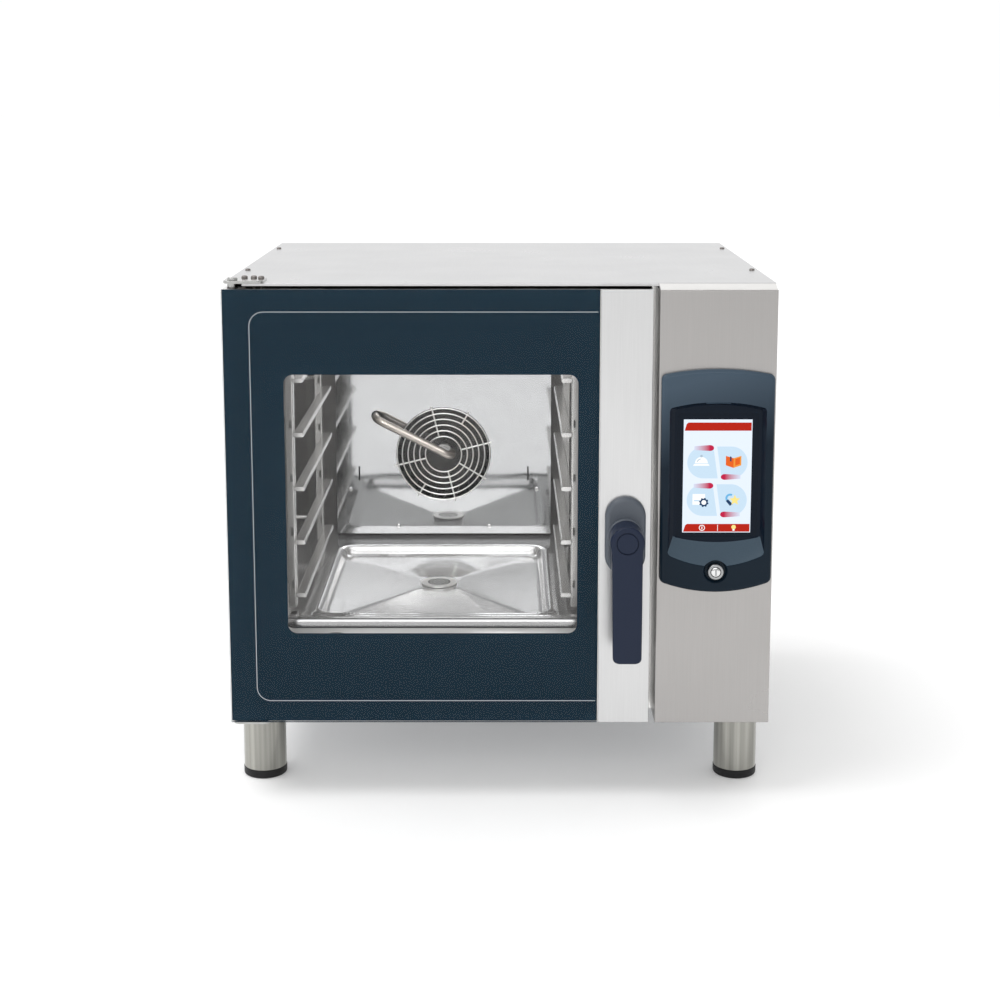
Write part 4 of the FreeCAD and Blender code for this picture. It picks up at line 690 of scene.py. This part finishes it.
def make_signs(x0, z, wide, red, white):
    """Signs in the footer bar: a ringed stroke, a divider and a bulb."""
    x = x0 + wide * 0.29
    flat_shape("sign_ring", circle(x, z, 3.9, 28), 4, white)
    flat_shape("sign_ring_inside", circle(x, z, 2.9, 28), 5, red)
    plate("sign_stem", x - 0.6, x + 0.6, z - 1.8, z + 1.8, 6, white)
    x = x0 + wide * 0.52
    plate("sign_divider", x - 0.35, x + 0.35, z - 4, z + 4, 4, white)
    x = x0 + wide * 0.755
    yellow = lit("sign_yellow", (0.92, 0.76, 0.25))
    flat_shape("sign_bulb", circle(x, z + 1.0, 2.9, 20, -60, 300), 4, yellow)
    plate("sign_bulb_cap", x - 1.3, x + 1.3, z - 3.8, z - 1.6, 5, white)


# ---- cavity -------------------------------------------------------------------------------------
def make_floor_pressing():
    """Cavity floor: flat margins, a rolled rim, leaning walls and four slopes that fall to the drain."""
    left, right, near, far, low, high = span("cavity_floor")
    sieve = span("drain_sieve")
    drain_x, drain_d = (sieve[0] + sieve[1]) / 2, (sieve[2] + sieve[3]) / 2
    half, front, rear, sheet = 152.0, 70.0, 410.0, 1.2
    x0, x1 = drain_x - half, drain_x + half
    base = low + 1.5

    def level(z, u0, u1, v0, v1, radius):
        return [at(u, v, z) for u, v in rounded(u0, u1, v0, v1, radius)]

    def ring(inset, z, radius):
        return level(z, x0 + inset, x1 - inset, front + inset, rear - inset, radius)

    def square(size, z, radius):
        return level(z, drain_x - size, drain_x + size, drain_d - size, drain_d + size, radius)

    top = [level(high, left, right, near, far, 0.5)]
    top += [ring(-13, high, 34), ring(-9, high + 0.5, 30), ring(-5.5, high + 1.3, 27),
            ring(-2.5, high + 1.0, 24), ring(0.5, high - 0.8, 21), ring(2.4, high - 3.2, 19),
            ring(5.2, high - 8.6, 17), ring(8.0, high - 11.0, 15), ring(12.0, high - 11.9, 12)]
    top += [square(33, base + 0.6, 1.0), square(29, base - 0.2, 14), square(19.0, base - 0.1, 18.9),
            square(18.0, base - 1.4, 17.9)]
    under = [[Vector((p.x, p.y, p.z - sheet * MM)) for p in loop] for loop in reversed(top)]
    mesh = loft("cavity_floor_pressing", top + under + [top[0]], caps=(False, False))
    wall, smallest = 8.0, 2e-4
    to_front, to_rear = drain_d - front - wall, rear - wall - drain_d

    def on_slope(polygon):
        x, d = abs(polygon.center.x / MM - drain_x), (polygon.center.y - FRONT) / MM - drain_d
        return x < half - wall and -to_front < d < to_rear and polygon.area > smallest

    floor = finish_mesh("cavity_floor_pressing", mesh, LOOKS["pan"], "cabinet", 50.0,
                        on_slope)
    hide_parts("cavity_floor")


def make_drip_lip():
    """Rounded lip that leads water from the front frame's lower edge back into the cavity."""
    left, right = span("cavity_liner")[:2]
    floor = span("cavity_floor")[5]
    shape = ((60.0, 0.3), (56.5, 0.3), (53.6, -0.5), (51.4, -2.4), (49.8, -5.6), (48.6, -13.4),
             (49.6, -13.4), (50.8, -5.9), (52.2, -3.3), (54.0, -1.7), (56.7, 0.1), (60.0, 0.1))
    loops = [[at(x, depth, floor + rise) for depth, rise in shape] for x in (left + 22, right - 22)]
    lip = loft("cavity_drip_lip", loops)
    finish_mesh("cavity_drip_lip", lip, LOOKS["pan"], "cabinet", 50.0)


def make_latch_pocket():
    """Closed pocket behind the front frame's slot, where the latch turns."""
    spindle = span("latch_spindle")
    z = (spindle[4] + spindle[5]) / 2
    left, right, half, near, far, wall = 141.0, 189.5, 29.5, 58.0, 70.2, 0.7

    def rim(depth, inset, radius):
        outline = rounded(left + inset, right - inset, z - half + inset, z + half - inset, radius)
        return [at(u, depth, v) for u, v in outline]

    pocket = loft("latch_pocket", [rim(far, 0.0, 5.0), rim(near, 0.0, 5.0), rim(near, wall, 4.3),
                                   rim(far - wall, wall, 4.3)])
    finish_mesh("latch_pocket", pocket, LOOKS["zinc"], "cabinet")


def make_sieve_hole_shade():
    """Painted shade: black discs on the sieve's top over its round holes, in place of the darkness seen down
    them.
    """
    sieve = span("drain_sieve")
    x, depth, top = (sieve[0] + sieve[1]) / 2, (sieve[2] + sieve[3]) / 2, sieve[5]
    points, faces, sides, radius = [], [], 16, 2.0
    for ring_r, count in ((0.0, 1), (5.2, 6), (10.2, 12), (14.6, 18)):
        for i in range(count):
            a = 2 * math.pi * i / count
            hole = circle(x + ring_r * math.cos(a), depth + ring_r * math.sin(a), radius, sides)
            low = len(points)
            high = low + sides
            for rise in (0.01, 0.06):
                points += [at(u, v, top + rise) for u, v in hole]
            faces += [tuple(range(low, low + sides)), tuple(range(high, high + sides))]
            for k in range(sides):
                after = (k + 1) % sides
                faces.append((low + k, low + after, high + after, high + k))
    shade_discs = mesh_from("sieve_hole_painted_shade", points, faces)
    finish_mesh("sieve_hole_painted_shade", shade_discs, LOOKS["black"], "sieve")


def make_fascia_return():
    """Sloping steel strip that closes the gap between the fascia's top and the cover's front edge."""
    left, right, _, _, _, top = span("control_fascia")
    edge = span("top_cover")[2] - 0.2
    shape = ((3.0, 0.05), (3.1, 0.7), (4.2, 1.5), (17.5, 5.4), (19.5, 6.2), (edge, 6.3), (edge, 0.05))
    loops = [[at(x, depth, top + rise) for depth, rise in shape] for x in (left + 0.6, right - 0.6)]
    strip = loft("fascia_top_strip", loops)
    finish_mesh("fascia_top_strip", strip, LOOKS["satin"], "cabinet", 50.0)


def make_rear_fittings():
    """Blank data plate with its rivets and the earthing stud on the rear panel."""
    rear = span("rear_panel")[3]

    def slab(name, x0, x1, z0, z1, radius, d0, d1, look):
        shape = rounded(x0, x1, z0, z1, radius)
        loops = [[at(x, depth, z) for x, z in shape] for depth in (d0, d1)]
        finish_mesh(name, loft(name, loops), LOOKS[look], "cabinet")

    def fitting(name, profile, x, z, steps=24, sharp=35.0):
        finish_mesh(name, turned(name, profile, x, z, steps), LOOKS["chrome"], "cabinet", sharp)

    slab("data_plate", 182, 272, 226, 282, 3, rear + 0.02, rear + 0.9, "fascia")
    slab("data_plate_field", 188, 266, 232, 276, 2, rear + 0.9, rear + 1.0, "white")
    for i, (x, z) in enumerate(((185, 229), (269, 229), (185, 279), (269, 279))):
        rivet = [(0.05, rear + 2.0), (1.2, rear + 1.9), (2.0, rear + 1.4), (2.2, rear + 0.9)]
        fitting(f"data_plate_rivet_{i}", rivet, x, z)
    earth_x, earth_z = 215, 128
    washer = [(8.0, rear + 0.02), (8.0, rear + 1.4), (4.0, rear + 1.4)]
    fitting("earth_washer", washer, earth_x, earth_z, 40)
    nut = [(6.4, rear + 1.4), (6.6, rear + 1.8), (6.6, rear + 5.2), (6.2, rear + 5.6)]
    fitting("earth_nut", nut, earth_x, earth_z, 6, 20.0)
    stud = [(2.9, rear + 0.02)]
    for k in range(9):
        stud += [(3.0, rear + 5.6 + k * 0.9), (2.6, rear + 6.05 + k * 0.9)]
    stud += [(2.2, rear + 14.0)]
    fitting("earth_stud", stud, earth_x, earth_z, 24, 20.0)


# ---- studio -------------------------------------------------------------------------------------
def make_studio():
    """Pale floor, a white card at the left, and surroundings that are brighter behind and above."""
    size = 60.0
    corners = ((-size, -size), (size, -size), (size, size), (-size, size))
    points = [Vector((x, y, 0.0)) for x, y in corners]
    paper = varied("floor_paper", (0.90, 0.90, 0.90), 0.01, (3, 3, 3), 0.0, (0.6, 0.7))
    shader = paper.node_tree.nodes["Principled BSDF"]
    shader.inputs["Emission Color"].default_value = (1, 1, 1, 1)
    shader.inputs["Emission Strength"].default_value = 0.13
    floor = mesh_from("studio_floor", points, [(0, 1, 2, 3)])
    finish_mesh("studio_floor", floor, paper, None)
    white = lit("backdrop_paper", (1.0, 1.0, 1.0), 1.02)
    points = [Vector((1 - size, y, z)) for y, z in ((-25, 0), (25, 0), (25, 14), (-25, 14))]
    backdrop = mesh_from("studio_backdrop", points, [(0, 1, 2, 3)])
    finish_mesh("studio_backdrop", backdrop, white, None)

    world = bpy.data.worlds.new("studio")
    bpy.context.scene.world = world
    world.use_nodes = True
    tree = world.node_tree
    place = tree.nodes.new("ShaderNodeTexCoord")
    slope = tree.nodes.new("ShaderNodeVectorMath")
    slope.operation = "DOT_PRODUCT"
    slope.inputs[1].default_value = (-0.30, 0.80, 0.30)
    reach = tree.nodes.new("ShaderNodeMapRange")
    reach.inputs["From Min"].default_value = -1.0
    reach.inputs["From Max"].default_value = 0.6
    reach.inputs["To Min"].default_value = 0.45
    reach.inputs["To Max"].default_value = 1.01
    tree.links.new(place.outputs["Generated"], slope.inputs[0])
    tree.links.new(slope.outputs["Value"], reach.inputs["Value"])
    tree.links.new(reach.outputs["Result"], tree.nodes["Background"].inputs["Strength"])
    tree.nodes["Background"].inputs["Color"].default_value = (1, 1, 1, 1)


def softbox(name, place, target, width, height, power):
    """Rectangular area light aimed at a point, itself out of sight."""
    data = bpy.data.lights.new(name, "AREA")
    data.shape, data.size, data.size_y, data.energy = "RECTANGLE", width, height, power
    lamp = bpy.data.objects.new(name, data)
    lamp.location = place
    lamp.visible_camera = False
    lamp.rotation_mode = "QUATERNION"
    lamp.rotation_quaternion = (Vector(target) - Vector(place)).to_track_quat("-Z", "Y")
    bpy.context.scene.collection.objects.link(lamp)
    return lamp


def make_lights():
    """Large soft key from the upper left, a broad light in front, and two lights inside the cavity."""
    sun = bpy.data.objects.new("key", bpy.data.lights.new("key", "SUN"))
    sun.data.energy, sun.data.angle = 1.05, math.radians(32)
    sun.rotation_mode = "QUATERNION"
    sun.rotation_quaternion = Vector((0.50, 0.12, -1.0)).to_track_quat("-Z", "Y")
    bpy.context.scene.collection.objects.link(sun)
    softbox("front", (-0.3, -2.9, 1.75), (-0.1, 0, 0.40), 2.6, 1.1, 17)
    left, right, _, _, _, top = span("cavity_liner")
    x = (left + right) / 2
    strip = softbox("cavity_front", at(x, 78, top - 12), at(x, 380, 250), 0.36, 0.05, 0.28)
    strip.data.spread = math.radians(86)
    softbox("cavity_top", at(x, 260, top - 8), at(x, 260, 200), 0.34, 0.34, 0.35)


def make_camera():
    """Camera a little above the oven, in front of the door."""
    data = bpy.data.cameras.new("camera")
    data.lens, data.sensor_width = 61.58, 36.0
    data.shift_x, data.shift_y = -0.005, -0.14
    camera = bpy.data.objects.new("camera", data)
    camera.location = at(6.9, -2130.0, 912.5)
    camera.rotation_euler = (math.radians(90 - 8.87), 0, 0)
    bpy.context.scene.collection.objects.link(camera)
    bpy.context.scene.camera = camera


dress_nodes()
make_pinstripe()
make_door_reveal()
make_lever()
make_bezel()
make_knob_face()
make_screen()
make_floor_pressing()
make_drip_lip()
make_latch_pocket()
make_fascia_return()
make_sieve_hole_shade()
make_rear_fittings()
make_studio()
make_lights()
make_camera()
bpy.context.scene.view_settings.view_transform = "Standard"
